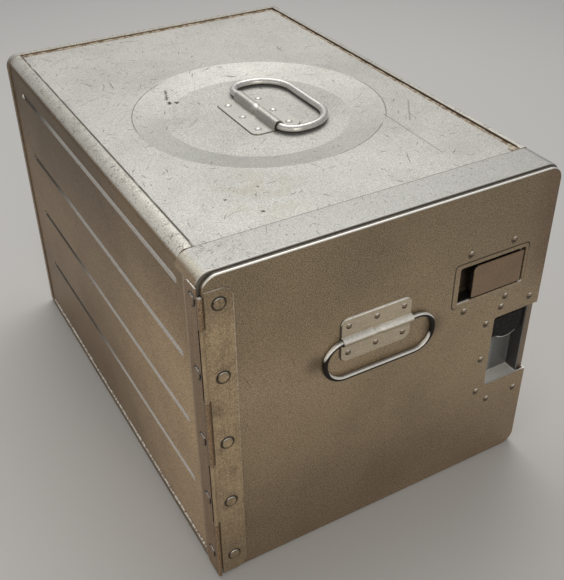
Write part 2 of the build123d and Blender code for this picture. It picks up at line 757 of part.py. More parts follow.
def build():
    """Every piece by name, each in its place."""
    top = top_handle_plane()
    door = door_plane(door_handle_x, door_handle_z)
    return {
        "front_frame": make_front_frame(),
        "left_side_panel": make_side_panel(-1),
        "right_side_panel": make_side_panel(1),
        "top_panel": make_top_panel(),
        "bottom_pan": make_bottom_pan(),
        "rear_panel": make_rear_panel(),
        "latch_keeper": make_latch_keeper(),
        "hinge_side_leaf": make_hinge_side_leaf(),
        "hinge_side_rivets": make_leaf_rivets(side_leaf_plane, side_leaf_rivet_low),
        "hinge_pin": make_hinge_pin(),
        "top_handle_saddle": top * make_saddle(top_wire_r, top_saddle_l, top_saddle_w),
        "top_handle_rivets": top * make_saddle_rivets(top_rivet_pitch, top_rivet_rows),
        "top_handle_doubler": make_doubler(),
        "top_handle": top * make_loop(
            top_wire_r, top_loop_half, top_loop_reach, top_loop_r, top_saddle_l, top_loop_slide),
        "door_skin": make_door_skin(),
        "door_inner_pan": make_door_inner_pan(),
        "door_core": make_door_core(),
        "door_seal": make_door_seal(),
        "hinge_door_leaf": make_hinge_door_leaf(),
        "hinge_door_rivets": make_leaf_rivets(door_leaf_plane, door_leaf_rivet_low),
        "door_handle_saddle": door * make_saddle(door_wire_r, door_saddle_l, door_saddle_w),
        "door_handle_rivets": door * make_saddle_rivets(door_rivet_pitch, door_rivet_rows),
        "door_handle": door * make_loop(
            door_wire_r, door_loop_half, door_loop_reach, door_loop_r, door_saddle_l, door_loop_slide),
        "latch_pan": make_latch_pan(),
        "latch_rivets": make_latch_rivets(),
        "paddle_pin": make_paddle_pin(),
        "latch_paddle": make_latch_paddle(),
        "latch_bolt": make_latch_bolt(),
        "bolt_guide": make_bolt_guide(),
        "catch_pan": make_catch_pan(),
        "catch_rivets": make_catch_rivets(),
        "tab_pin": make_tab_pin(),
        "pull_tab": make_pull_tab(),
    }


os.makedirs("parts", exist_ok=True)
for name, piece in build().items():
    export_step(piece, os.path.join("parts", name + ".step"))
    print(name, round(piece.volume))
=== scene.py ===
# %% [markdown]
# # A worn aluminium galley container
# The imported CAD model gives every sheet, hinge, handle and latch piece its true shape and place.
# This lesson adds the camera, the light, the finishes and the small things that years of use leave
# on such a box: sealant in the seams, scratches, grime round the rivets. Lengths are in metres: X runs
# along the door to the right, Y from the door to the rear, Z up.

# %% Load the CAD frame
import math
from types import SimpleNamespace

import bpy
from mathutils import Matrix, Vector


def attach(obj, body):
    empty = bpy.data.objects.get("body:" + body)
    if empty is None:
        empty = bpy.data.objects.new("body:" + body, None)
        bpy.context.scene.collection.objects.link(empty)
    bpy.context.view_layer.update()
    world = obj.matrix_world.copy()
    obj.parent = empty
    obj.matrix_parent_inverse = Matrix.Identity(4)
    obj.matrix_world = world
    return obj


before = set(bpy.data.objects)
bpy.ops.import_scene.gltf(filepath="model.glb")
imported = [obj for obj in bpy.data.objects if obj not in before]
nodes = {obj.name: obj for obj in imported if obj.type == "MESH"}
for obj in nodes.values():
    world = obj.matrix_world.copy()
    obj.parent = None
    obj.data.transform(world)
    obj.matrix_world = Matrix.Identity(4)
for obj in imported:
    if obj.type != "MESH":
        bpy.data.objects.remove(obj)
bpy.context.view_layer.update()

# %% [markdown]
# ## Camera
# The box is seen from the front left and from above. The straight edges of the box in the picture give
# the camera's place, its lens and a very small roll, so the same view is set here for a 564 by 580 frame.

# %% Place the camera
picture_width = 564
focal_pixels = 888.2
sensor_width = 36.0
camera_place = Vector((-0.3012, -0.5898, 0.5556))
camera_aim = Vector((-0.01189, -0.07087, 0.1335))
camera_roll = math.radians(-0.625)


def look_at(place, aim):
    """Matrix that puts a camera or lamp at place and turns it to aim."""
    turn = (Vector(aim) - Vector(place)).to_track_quat("-Z", "Y")
    return Matrix.Translation(place) @ turn.to_matrix().to_4x4()


camera_data = bpy.data.cameras.new("camera")
camera_data.sensor_fit = "HORIZONTAL"
camera_data.sensor_width = sensor_width
camera_data.lens = focal_pixels / picture_width * sensor_width
camera_data.clip_start = 0.01
camera = bpy.data.objects.new("camera", camera_data)
bpy.context.scene.collection.objects.link(camera)
camera.matrix_world = look_at(camera_place, camera_aim) @ Matrix.Rotation(camera_roll, 4, "Z")
bpy.context.scene.camera = camera
print("lens", round(camera_data.lens, 2), "mm")

# %% [markdown]
# ## Floor and light
# Bare metal shows what it mirrors, so the main light is a wide ceiling lamp behind and above the box: the
# top mirrors it and turns pale, the far slope of the dish mirrors more of it than the near one, and the
# door and the side, which look away from it, stay darker. Two weak lamps and the world fill those in.

# %% Floor and world
floor_size = 12.0
floor_drop = 0.0004

bpy.ops.object.select_all(action="DESELECT")
bpy.ops.mesh.primitive_plane_add(size=floor_size, location=(0, 0, -floor_drop))
floor = bpy.context.object
floor.name = "floor"

floor_paint = bpy.data.materials.new("pale_floor")
floor_paint.use_nodes = True
floor_shader = floor_paint.node_tree.nodes["Principled BSDF"]
floor_shader.inputs["Base Color"].default_value = (0.62, 0.61, 0.59, 1)
floor_shader.inputs["Roughness"].default_value = 0.9
floor.data.materials.append(floor_paint)

world = bpy.data.worlds.new("studio")
bpy.context.scene.world = world
world.use_nodes = True
sky = world.node_tree.nodes["Background"]
sky.inputs["Color"].default_value = (0.93, 0.95, 1.0, 1)
sky.inputs["Strength"].default_value = 0.25
print("floor and world set")

# %% Lamps
ceiling_white = (1.0, 0.99, 0.96)
fill_warm = (1.0, 0.94, 0.86)


def add_lamp(name, place, aim, size, watts, colour):
    """Square soft lamp at place, turned to aim."""
    data = bpy.data.lights.new(name, "AREA")
    data.size = size
    data.energy = watts
    data.color = colour
    lamp = bpy.data.objects.new(name, data)
    lamp.matrix_world = look_at(place, aim)
    bpy.context.scene.collection.objects.link(lamp)


add_lamp("ceiling", (0.30, 0.60, 1.50), (0, 0, 0.25), 1.3, 15.0, ceiling_white)
add_lamp("front_fill", (-0.35, -1.70, 0.85), (0, 0, 0.15), 1.0, 9.0, fill_warm)
add_lamp("side_fill", (-1.60, -0.50, 0.60), (0, 0, 0.12), 1.0, 4.0, fill_warm)
bpy.context.scene.view_settings.view_transform = "Standard"
print("lamps set")

# %% [markdown]
# ## Small tools for shader trees
# A finish is a tree of nodes. These helpers add a node, join it up and give back the socket, so that a
# finish can be written as a few readable lines.

# %% Nodes and sums


def feed(tree, socket, value):
    """Link a socket, or set a plain value."""
    if isinstance(value, bpy.types.NodeSocket):
        tree.links.new(value, socket)
    else:
        socket.default_value = value


def put(tree, kind, settings=None, **values):
    """Add a node, set its options and feed its inputs by name."""
    node = tree.nodes.new("ShaderNode" + kind)
    for key, value in (settings or {}).items():
        setattr(node, key, value)
    for key, value in values.items():
        feed(tree, node.inputs[key.replace("_", " ")], value)
    return node


def calc(tree, operation, *values):
    """One Math node."""
    node = put(tree, "Math", {"operation": operation})
    for socket, value in zip(node.inputs, values):
        feed(tree, socket, value)
    return node.outputs[0]


def vector_calc(tree, operation, *values):
    """One Vector Math node."""
    node = put(tree, "VectorMath", {"operation": operation})
    for socket, value in zip(node.inputs, values):
        feed(tree, socket, value)
    return node.outputs["Value" if operation in ("LENGTH", "DOT_PRODUCT") else "Vector"]


def scale(tree, vector, factor):
    """Vector or colour times a number."""
    return put(tree, "VectorMath", {"operation": "SCALE"}, Vector=vector, Scale=factor).outputs[0]


def split(tree, vector):
    """The three parts of a vector."""
    return put(tree, "SeparateXYZ", Vector=vector).outputs


def tint(tree, amount, low, high):
    """Mix two colours, each a socket or three numbers."""
    node = put(tree, "Mix", {"data_type": "RGBA"})
    feed(tree, node.inputs[0], amount)
    for socket, colour in ((node.inputs[6], low), (node.inputs[7], high)):
        feed(tree, socket, (*colour, 1.0) if isinstance(colour, tuple) else colour)
    return node.outputs[2]


print("node helpers ready")

# %% [markdown]
# Masks run from 0 to 1: most() keeps the strongest of several, both() the part that they share, near()
# and within() mark a band along one coordinate. A pair of lengths that is handed to ease() says where a
# change begins and where it is complete. Noise is the start of every stain, and drift() turns it into a
# small push that keeps a pattern from looking ruled.

# %% Masks and noise


def ease(tree, value, low, high):
    """Smooth step from 0 at low to 1 at high; low may be the larger one."""
    node = put(tree, "MapRange", {"interpolation_type": "SMOOTHSTEP"},
               Value=value, From_Min=low, From_Max=high)
    return node.outputs[0]


def most(tree, *masks):
    """Strongest of several masks."""
    mask = masks[0]
    for other in masks[1:]:
        mask = calc(tree, "MAXIMUM", mask, other)
    return mask


def both(tree, *masks):
    """Product of several masks or numbers."""
    mask = masks[0]
    for other in masks[1:]:
        mask = calc(tree, "MULTIPLY", mask, other)
    return mask


def near(tree, value, middle, reach):
    """1 at middle, easing to 0 at a distance of reach."""
    return ease(tree, calc(tree, "ABSOLUTE", calc(tree, "SUBTRACT", value, middle)), reach, 0.0)


def within(tree, value, low, high, soft):
    """1 between low and high, easing to 0 over soft beyond them."""
    return both(tree, ease(tree, value, low - soft, low), ease(tree, value, high + soft, high))


def distance_to(tree, flat, x, y):
    """Distance from a point of the flat."""
    return vector_calc(tree, "LENGTH", vector_calc(tree, "SUBTRACT", flat, (x, y, 0)))


def noise(tree, place, **values):
    """Grey noise at a place."""
    return put(tree, "TexNoise", Vector=place, **values).outputs["Fac"]


def drift(tree, place, amount, settings=None, **values):
    """Small vector that wanders from place to place."""
    wander = put(tree, "TexNoise", settings, Vector=place, **values).outputs["Color"]
    return scale(tree, vector_calc(tree, "SUBTRACT", wander, (0.5, 0.5, 0.5)), amount)


print("mask helpers ready")

# %% [markdown]
# ## Shared effects
# Each effect is a node group, built once and placed in every finish that needs it.
# Hairline scratches: the surface is cut into cells, each with its own direction, and a thin line is
# drawn through some of them. An image of scratches would do too, but this never repeats or blurs.

# %% Groups and hairline scratches


def new_group(name, inputs, output):
    """Empty shader node group with named sockets; gives the tree, its inputs and its one output."""
    tree = bpy.data.node_groups.new(name, "ShaderNodeTree")
    for label, value in inputs.items():
        kind = "NodeSocketVector" if isinstance(value, tuple) else "NodeSocketFloat"
        tree.interface.new_socket(label, in_out="INPUT", socket_type=kind).default_value = value
    tree.interface.new_socket(output, in_out="OUTPUT", socket_type="NodeSocketFloat")
    given_sockets = tree.nodes.new("NodeGroupInput").outputs
    return tree, given_sockets, tree.nodes.new("NodeGroupOutput").inputs[output]


def use_group(tree, group, **values):
    """Place a group in a material, feed its inputs and give back its output."""
    node = tree.nodes.new("ShaderNodeGroup")
    node.node_tree = group
    for key, value in values.items():
        feed(tree, node.inputs[key.replace("_", " ")], value)
    return node.outputs[0]


scratches, given, out = new_group(
    "hairline_scratches",
    {"Vector": (0, 0, 0), "Cells": 60.0, "Share": 0.5, "Length": 0.4, "Width": 0.03, "Warp": 0.3},
    "Mask")
scaled = scale(scratches, given["Vector"], given["Cells"])
push = drift(scratches, scaled, given["Warp"], {"noise_dimensions": "2D"}, Scale=0.9)
bent = vector_calc(scratches, "ADD", scaled, push)
cell = put(scratches, "TexVoronoi", {"voronoi_dimensions": "2D"}, Vector=bent, Scale=1.0)
chance = put(scratches, "SeparateColor", Color=cell.outputs["Color"]).outputs
local = vector_calc(scratches, "SUBTRACT", bent, cell.outputs["Position"])
turned = put(scratches, "VectorRotate", {"rotation_type": "Z_AXIS"}, Vector=local,
             Angle=calc(scratches, "MULTIPLY", chance[0], 2 * math.pi))
run = split(scratches, turned.outputs[0])
across = ease(scratches, calc(scratches, "ABSOLUTE", run[1]), given["Width"], 0.0)
along = ease(scratches, calc(scratches, "ABSOLUTE", run[0]), given["Length"], 0.05)
chosen = calc(scratches, "LESS_THAN", chance[1], given["Share"])
feed(scratches, out, both(scratches, across, along, chosen, chance[2]))
print("made", scratches.name)

# %% [markdown]
# Clouds are soft patches of stain, flecks are tiny pits and dots. The metal's own speckle is a tone: a
# number round 1 that darkens and lightens the colour from grain to grain and, more slowly, from patch
# to patch.

# %% Clouds, flecks and speckle
clouds, given, out = new_group(
    "soft_clouds", {"Vector": (0, 0, 0), "Scale": 12.0, "Low": 0.45, "High": 0.7}, "Mask")
puffs = noise(clouds, given["Vector"], Scale=given["Scale"], Detail=5.0, Roughness=0.6)
feed(clouds, out, ease(clouds, puffs, given["Low"], given["High"]))

flecks, given, out = new_group(
    "flecks", {"Vector": (0, 0, 0), "Scale": 900.0, "Low": 0.66, "High": 0.74}, "Mask")
dots = noise(flecks, given["Vector"], Scale=given["Scale"], Detail=1.0)
feed(flecks, out, ease(flecks, dots, given["Low"], given["High"]))

speckle, given, out = new_group(
    "metal_speckle",
    {"Vector": (0, 0, 0), "Grain": 900.0, "Patch": 45.0, "Grain Depth": 0.6, "Patch Depth": 0.3},
    "Tone")
grain = noise(speckle, given["Vector"], Scale=given["Grain"], Detail=1.0)
patch = noise(speckle, given["Vector"], Scale=given["Patch"], Detail=3.0)
tone = calc(speckle, "MULTIPLY_ADD", calc(speckle, "SUBTRACT", grain, 0.5), given["Grain Depth"], 1.0)
tone = calc(speckle, "MULTIPLY_ADD", calc(speckle, "SUBTRACT", patch, 0.5), given["Patch Depth"], tone)
feed(speckle, out, tone)
print("made", clouds.name, flecks.name, speckle.name)

# %% [markdown]
# Old metal and sealant crack at the ends of a seam. Cell borders of a Voronoi texture make a good net of
# cracks once the space under it is warped, so that no border stays straight.

# %% Cracks
cracks, given, out = new_group(
    "crack_net", {"Vector": (0, 0, 0), "Cells": 150.0, "Width": 0.06, "Warp": 0.6}, "Mask")
scaled = scale(cracks, given["Vector"], given["Cells"])
bent = vector_calc(cracks, "ADD", scaled, drift(cracks, scaled, given["Warp"], Scale=1.3))
cell = put(cracks, "TexVoronoi", {"feature": "DISTANCE_TO_EDGE"}, Vector=bent, Scale=1.0)
feed(cracks, out, ease(cracks, cell.outputs["Distance"], given["Width"], 0.0))
print("made", cracks.name)

# %% [markdown]
# Dirt gathers along the edge of a plate and round a rivet, and shade falls there too. The outline group
# measures the distance to a rectangle with round corners, the rings group the distance to a row of
# circles, and both darken what lies close to that line; the finishes use this for dirt and for painted
# shade.

# %% Outline of a plate
outline, given, out = new_group(
    "plate_outline",
    {"Vector": (0, 0, 0), "Centre": (0, 0, 0), "Half": (0.01, 0.01, 0), "Corner": 0.0, "Width": 0.0006},
    "Mask")
offset = vector_calc(outline, "SUBTRACT", given["Vector"], given["Centre"])
offset = vector_calc(outline, "ABSOLUTE", offset)
beyond = split(outline, vector_calc(outline, "SUBTRACT", offset, given["Half"]))
over_x = calc(outline, "ADD", beyond[0], given["Corner"])
over_y = calc(outline, "ADD", beyond[1], given["Corner"])
corner = put(outline, "CombineXYZ", X=calc(outline, "MAXIMUM", over_x, 0.0),
             Y=calc(outline, "MAXIMUM", over_y, 0.0)).outputs[0]
inside = calc(outline, "MINIMUM", calc(outline, "MAXIMUM", over_x, over_y), 0.0)
reach = calc(outline, "ADD", vector_calc(outline, "LENGTH", corner), inside)
feed(outline, out, near(outline, reach, given["Corner"], given["Width"]))
print("made", outline.name)

# %% Rings round a row of rivets
rings, given, out = new_group(
    "rivet_rings",
    {"Vector": (0, 0, 0), "First": (0, 0, 0), "Pitch": 0.05, "Last": 4.0, "Radius": 0.005,
     "Width": 0.0008},
    "Mask")
offset = split(rings, vector_calc(rings, "SUBTRACT", given["Vector"], given["First"]))
count = calc(rings, "ROUND", calc(rings, "DIVIDE", offset[1], given["Pitch"]))
count = calc(rings, "MINIMUM", calc(rings, "MAXIMUM", count, 0.0), given["Last"])
height = calc(rings, "SUBTRACT", offset[1], calc(rings, "MULTIPLY", count, given["Pitch"]))
spoke = vector_calc(rings, "LENGTH", put(rings, "CombineXYZ", X=offset[0], Y=height).outputs[0])
feed(rings, out, near(rings, spoke, given["Radius"], given["Width"]))
print("made", rings.name)

# %% [markdown]
# Some marks are single: a long scratch, a gouge, a dark stretch of the dish's rim. The stroke group
# marks a straight line from one point to another, the arc group a part of a circle.

# %% Strokes and arcs
stroke, given, out = new_group(
    "single_stroke", {"Vector": (0, 0, 0), "Start": (0, 0, 0), "End": (0, 0, 0), "Width": 0.001}, "Mask")
run = vector_calc(stroke, "SUBTRACT", given["End"], given["Start"])
local = vector_calc(stroke, "SUBTRACT", given["Vector"], given["Start"])
share = calc(stroke, "DIVIDE", vector_calc(stroke, "DOT_PRODUCT", local, run),
             vector_calc(stroke, "DOT_PRODUCT", run, run))
share = calc(stroke, "MINIMUM", calc(stroke, "MAXIMUM", share, 0.0), 1.0)
miss = vector_calc(stroke, "SUBTRACT", local, scale(stroke, run, share))
feed(stroke, out, ease(stroke, vector_calc(stroke, "LENGTH", miss), given["Width"], 0.0))

arc, given, out = new_group(
    "single_arc",
    {"Vector": (0, 0, 0), "Centre": (0, 0, 0), "Radius": 0.1, "Width": 0.001, "Middle": 0.0,
     "Spread": 0.5},
    "Mask")
local = vector_calc(arc, "SUBTRACT", given["Vector"], given["Centre"])
turned = put(arc, "VectorRotate", {"rotation_type": "Z_AXIS", "invert": True}, Vector=local,
             Angle=given["Middle"])
run = split(arc, turned.outputs[0])
angle = calc(arc, "ABSOLUTE", calc(arc, "ARCTAN2", run[1], run[0]))
part = ease(arc, angle, given["Spread"], calc(arc, "MULTIPLY", given["Spread"], 0.6))
line = near(arc, vector_calc(arc, "LENGTH", local), given["Radius"], given["Width"])
feed(arc, out, both(arc, line, part))
print("made", stroke.name, arc.name)

# %% [markdown]
# ## Sheet metal
# All sheets share one recipe: a colour that the sheet brings along, the speckle of the metal, dark
# hairline scratches in the plane of the sheet, pits, and a fine grain in the bump. Each sheet then gets
# its own dirt and painted shade, and its own bright places, some rubbed and some painted highlights. A
# finish needs to know where it is on the piece, so the coordinates and normals come first.

# %% Coordinates of a finish


def lay_flat(tree, axes, fold=False):
    """Object coordinates, normals, and the flat: the two axes named, laid out as X and Y.

    fold unrolls a sheet that is bent from upright to level, so that scratches run over the bend.
    """
    source = put(tree, "TexCoord").outputs
    parts = split(tree, source["Object"])
    second = parts["XYZ".index(axes[1])]
    if fold:
        second = calc(tree, "SUBTRACT", second, calc(tree, "ABSOLUTE", parts[0]))
    flat = put(tree, "CombineXYZ", X=parts["XYZ".index(axes[0])], Y=second).outputs[0]
    normal = split(tree, source["Normal"])
    return SimpleNamespace(place=source["Object"], flat=flat, x=parts[0], y=parts[1], z=parts[2],
                           out_x=normal[0], out_y=normal[1], up=normal[2])


def start_finish(name):
    """New material with its tree and shader."""
    finish = bpy.data.materials.new(name)
    finish.use_nodes = True
    return finish, finish.node_tree, finish.node_tree.nodes["Principled BSDF"]


def cloudy(tree, at, size):
    """Soft stain that most sheets have; size is its frequency."""
    return use_group(tree, clouds, Vector=at.place, Scale=size, Low=0.40, High=0.72)


def dress(finish, *names):
    """Give CAD nodes this finish."""
    for name in names:
        slots = nodes[name].data.materials
        slots.clear()
        slots.append(finish)
    print(finish.name, "on", ", ".join(names))


print("coordinates ready")

# %% Recipe for sheet metal
# Dark colour of dirt and of painted shade; pale colour of rubbed places and of painted highlights.
grime_and_shade = (0.075, 0.055, 0.040)
highlight_and_rubbed = (0.90, 0.88, 0.82)
pit_strength = 0.55
grain_roughness = 0.16
dirt_roughness = 0.22
wave_height = 6.0
grain_height = 0.12
scratch_depth = 0.35


def sheet_metal(name, axes, colour_of, metallic, rough, share, dirt_and_shade_of=None, shine_of=None, fold=False,
                grain_depth=2.2, bold=1.0, specular=0.5):
    """Worn sheet. The colour, darkening and brightening functions are given the tree and the coordinates;
    the darkening holds painted shade as well as marks, the brightening painted highlights as well as
    wear.

    share is how many cells are scratched, grain_depth how deep the speckle is, each a number or a
    function of the coordinates, and bold how wide the scratches are.
    """
    finish, tree, shader = start_finish(name)
    at = lay_flat(tree, axes, fold)
    amount = share(tree, at) if callable(share) else share
    depth = grain_depth(tree, at) if callable(grain_depth) else grain_depth
    fine = use_group(tree, scratches, Vector=at.flat, Cells=95.0, Share=amount, Length=0.42,
                     Width=0.028 * bold, Warp=0.5)
    long = use_group(tree, scratches, Vector=at.flat, Cells=34.0, Share=both(tree, amount, 0.6),
                     Length=0.45, Width=0.010 * bold, Warp=0.35)
    line = most(tree, fine, long)
    pits = use_group(tree, flecks, Vector=at.place, Scale=420.0, Low=0.70, High=0.78)
    dirt_and_shade = most(tree, line, both(tree, pits, pit_strength))
    if dirt_and_shade_of:
        dirt_and_shade = most(tree, dirt_and_shade, dirt_and_shade_of(tree, at))
    tone = use_group(tree, speckle, Vector=at.place, Grain=1250.0, Grain_Depth=depth, Patch_Depth=0.12)
    colour = tint(tree, dirt_and_shade, scale(tree, colour_of(tree, at), tone), grime_and_shade)
    if shine_of:
        colour = tint(tree, shine_of(tree, at), colour, highlight_and_rubbed)
    feed(tree, shader.inputs["Base Color"], colour)
    shader.inputs["Metallic"].default_value = metallic
    shader.inputs["Specular IOR Level"].default_value = specular
    grain = noise(tree, at.place, Scale=700.0, Detail=2.0)
    roughness = calc(tree, "MULTIPLY_ADD", grain, grain_roughness, rough - grain_roughness / 2)
    roughness = calc(tree, "MULTIPLY_ADD", dirt_and_shade, dirt_roughness, roughness)
    feed(tree, shader.inputs["Roughness"], roughness)
    wave = noise(tree, at.place, Scale=16.0, Detail=1.0)
    height = calc(tree, "MULTIPLY_ADD", wave, wave_height, both(tree, grain, grain_height))
    height = calc(tree, "MULTIPLY_ADD", line, -scratch_depth, height)
    bump = put(tree, "Bump", Strength=0.35, Distance=0.0002, Height=height)
    feed(tree, shader.inputs["Normal"], bump.outputs["Normal"])
    return finish


print("recipe for sheet metal ready")

# %% [markdown]
# ### Top panel
# The top is the palest sheet, greyer in soft clouds, with a brown stain in front of the dish. Its seams
# hold dark dirt, a painted shadow line runs round the edge of the handle's saddle, the rim of the dish
# is dark in three stretches, and there are two chips, a gouge, four burnt dots and two long scratches.
# The rear left is scratched most.

# %% Colour of the top panel
top_pale = (0.56, 0.55, 0.512)
top_grey = (0.465, 0.455, 0.42)
top_stain = (0.42, 0.355, 0.26)
stain_place = (-0.060, -0.130)
stain_reach = 0.055
top_rear_fade = (-0.06, 0.08)
top_left_fade = (0.05, -0.05)


def top_colour(tree, at):
    """Pale sheet, grey clouds and the brown stain."""
    spread = use_group(tree, clouds, Vector=at.place, Scale=60.0, Low=0.42, High=0.62)
    stain = ease(tree, distance_to(tree, at.flat, *stain_place), stain_reach, 0.0)
    sheet = tint(tree, cloudy(tree, at, 9.0), top_pale, top_grey)
    return tint(tree, both(tree, stain, spread, 0.38), sheet, top_stain)


def top_rear_left(tree, at):
    """The corner that is scratched most."""
    return both(tree, ease(tree, at.y, *top_rear_fade), ease(tree, at.x, *top_left_fade))


def top_scratch_share(tree, at):
    """Share of scratched cells, which grows to the rear left."""
    return calc(tree, "MULTIPLY_ADD", top_rear_left(tree, at), 0.55, 0.44)


print("colour of the top ready")

# %% Dirt of the top panel
dish_centre = (0.0017, -0.0107, 0)
top_saddle_half = (0.0212, 0.0335, 0)
saddle_corner = 0.006
top_seam_centre = (0, 0.0127, 0)
top_seam_half = (0.1282, 0.1828, 0)
left_seam = -0.1271
# Radius, and middle and spread in degrees, of each dark stretch of the dish's rim.
rim_stretches = ((0.0985, 147, 38), (0.1005, -17, 28), (0.0995, -65, 24))
burnt_dots = ((-0.1193, -0.0842), (-0.0581, -0.1223), (-0.0852, -0.1269), (-0.0713, -0.1528))
burnt_radius = 0.0014
chips = ((-0.0506, 0.0441, 0.0030), (-0.0445, 0.0439, 0.0026))
gouge = ((-0.0453, 0.0635, 0), (-0.0500, 0.0500, 0))
long_scratches = (((0.0812, -0.0696, 0), (0.0795, -0.1442, 0)),
                  ((0.1130, -0.0573, 0), (0.0920, -0.0888, 0)))


def top_seams_and_saddle_shadow(tree, at):
    """Dirt along the seams, and a painted shadow line round the edge of the saddle."""
    saddle = use_group(tree, outline, Vector=at.flat, Centre=dish_centre, Half=top_saddle_half,
                       Corner=saddle_corner, Width=0.0011)
    seam = use_group(tree, outline, Vector=at.flat, Centre=top_seam_centre, Half=top_seam_half,
                     Corner=0.0, Width=0.0012)
    broken = use_group(tree, clouds, Vector=at.place, Scale=70.0, Low=0.30, High=0.50)
    left = both(tree, near(tree, at.x, left_seam, 0.0012), broken)
    return most(tree, both(tree, most(tree, saddle, seam), 0.8), left)


def top_marks(tree, at):
    """Single marks: dark rim, burnt dots, chips, gouge and long scratches."""
    ragged = vector_calc(tree, "ADD", at.flat, drift(tree, at.place, 0.005, Scale=420.0, Detail=1.0))
    marks = [use_group(tree, stroke, Vector=ragged, Start=gouge[0], End=gouge[1], Width=0.0019)]
    for radius, middle, spread in rim_stretches:
        rim = use_group(tree, arc, Vector=at.flat, Centre=dish_centre, Radius=radius, Width=0.0007,
                        Middle=math.radians(middle), Spread=math.radians(spread))
        marks.append(both(tree, rim, 0.75))
    for x, y, radius in [(*place, burnt_radius) for place in burnt_dots] + list(chips):
        marks.append(ease(tree, distance_to(tree, ragged, x, y), radius, 0.4 * radius))
    for start, end in long_scratches:
        scratch = use_group(tree, stroke, Vector=at.flat, Start=start, End=end, Width=0.0012)
        marks.append(both(tree, scratch, 0.4))
    return most(tree, *marks)


def top_dirt_and_shadow(tree, at):
    """Seams with the saddle's painted shadow line, single marks, and curled scratches at the rear left.
    """
    curls = use_group(tree, scratches, Vector=at.flat, Cells=34.0, Share=0.95, Length=0.6, Width=0.018,
                      Warp=1.6)
    curls = both(tree, curls, top_rear_left(tree, at), 0.9)
    return most(tree, top_seams_and_saddle_shadow(tree, at), curls, top_marks(tree, at))


dress(sheet_metal("worn_top_sheet", "XY", top_colour, metallic=0.5, rough=0.50, share=top_scratch_share,
                  dirt_and_shade_of=top_dirt_and_shadow, grain_depth=1.3, bold=1.8), "top_panel")

# %% [markdown]
# ### Front frame
# The strip along the top is pale and crazed all over with fine scratches, with a net of cracks at its
# left end. There it bends down with a painted creamy highlight, and is browner below, where the upright
# faces carry painted shade. Its front edge has a painted highlight, and the face behind the door's edge
# is painted grey as shade. Beside the recess the bare frame shows.

# %% Front frame
# Painted light on the frame: pale where it faces up against brown upright faces, a creamy highlight on
# the left bend, and grey shade on the face behind the door's edge.
strip_pale = (0.47, 0.462, 0.435)
bend_cream = (0.92, 0.86, 0.72)
frame_grey = (0.20, 0.185, 0.16)
frame_brown = (0.235, 0.178, 0.125)
side_front = (0.42, 0.315, 0.20)
strip_front = -0.1981
strip_rear = -0.1703
left_bend = (-0.120, -0.126)
cracked_end = (-0.075, -0.120)
recess_side = (0.129, 0.131)
recess_bottom = 0.080
recess_top = 0.150


def frame_colour(tree, at):
    """Pale strip facing up, painted creamy highlight on the left bend, painted grey shade on the front,
    brown beside the recess and on the sides.
    """
    recess_height = within(tree, at.z, recess_bottom, recess_top, 0.001)
    beside_recess = both(tree, ease(tree, at.x, *recess_side), recess_height)
    front = tint(tree, beside_recess, frame_grey, frame_brown)
    upright = tint(tree, ease(tree, at.out_y, -0.3, -0.8), side_front, front)
    bend = both(tree, ease(tree, at.up, 0.995, 0.88), ease(tree, at.x, *left_bend))
    strip = tint(tree, bend, strip_pale, bend_cream)
    return tint(tree, ease(tree, at.up, 0.48, 0.84), upright, strip)


def frame_dirt(tree, at):
    """Fine crazing, the seam behind the strip and the cracks at its left end."""
    craze = use_group(tree, scratches, Vector=at.flat, Cells=230.0, Share=0.75, Length=0.5, Width=0.06,
                      Warp=0.6)
    seam = near(tree, at.y, strip_rear, 0.0010)
    patchy = use_group(tree, clouds, Vector=at.place, Scale=150.0, Low=0.48, High=0.60)
    net = use_group(tree, cracks, Vector=at.place, Cells=300.0, Width=0.09, Warp=1.6)
    net = both(tree, net, patchy, ease(tree, at.x, *cracked_end), 0.9)
    looks_up = ease(tree, at.up, 0.5, 0.9)
    return both(tree, most(tree, both(tree, craze, 0.8), seam, net), looks_up, 0.8)


def frame_shine(tree, at):
    """Painted highlight along the front edge of the strip."""
    return both(tree, near(tree, at.y, strip_front, 0.0007), ease(tree, at.up, 0.2, 0.6), 0.6)


dress(sheet_metal("worn_frame_sheet", "XY", frame_colour, metallic=0.5, rough=0.46, share=0.6,
                  dirt_and_shade_of=frame_dirt, shine_of=frame_shine, grain_depth=1.1), "front_frame")

# %% [markdown]
# ### Sides
# The sides carry a painted reflection: darker towards the top and the rear, where they mirror the dark
# room, and paler at the front. The rails over the top edges are painted pale where they face up, and are
# chipped and speckled, with fine cracks. They are part of the same sheet, so the height and the way a
# face looks tell rail and side apart.

# %% Colour of the sides
# Painted reflection: the browns by height, the lift towards the front, and the rail's pale top with its
# own lift.
side_high = (0.150, 0.103, 0.060)
side_mid = (0.283, 0.198, 0.119)
side_low = (0.252, 0.178, 0.112)
side_lift = (1.86, 1.90, 1.90)
no_lift = (1.0, 1.0, 1.0)
rail_pale = (0.56, 0.54, 0.485)
side_foot_fade = (0.04, 0.12)
side_top_fade = (0.15, 0.25)
side_front_fade = (0.04, -0.165)
rail_front_fade = (0.05, -0.15)
rail_rise = (0.250, 0.256)


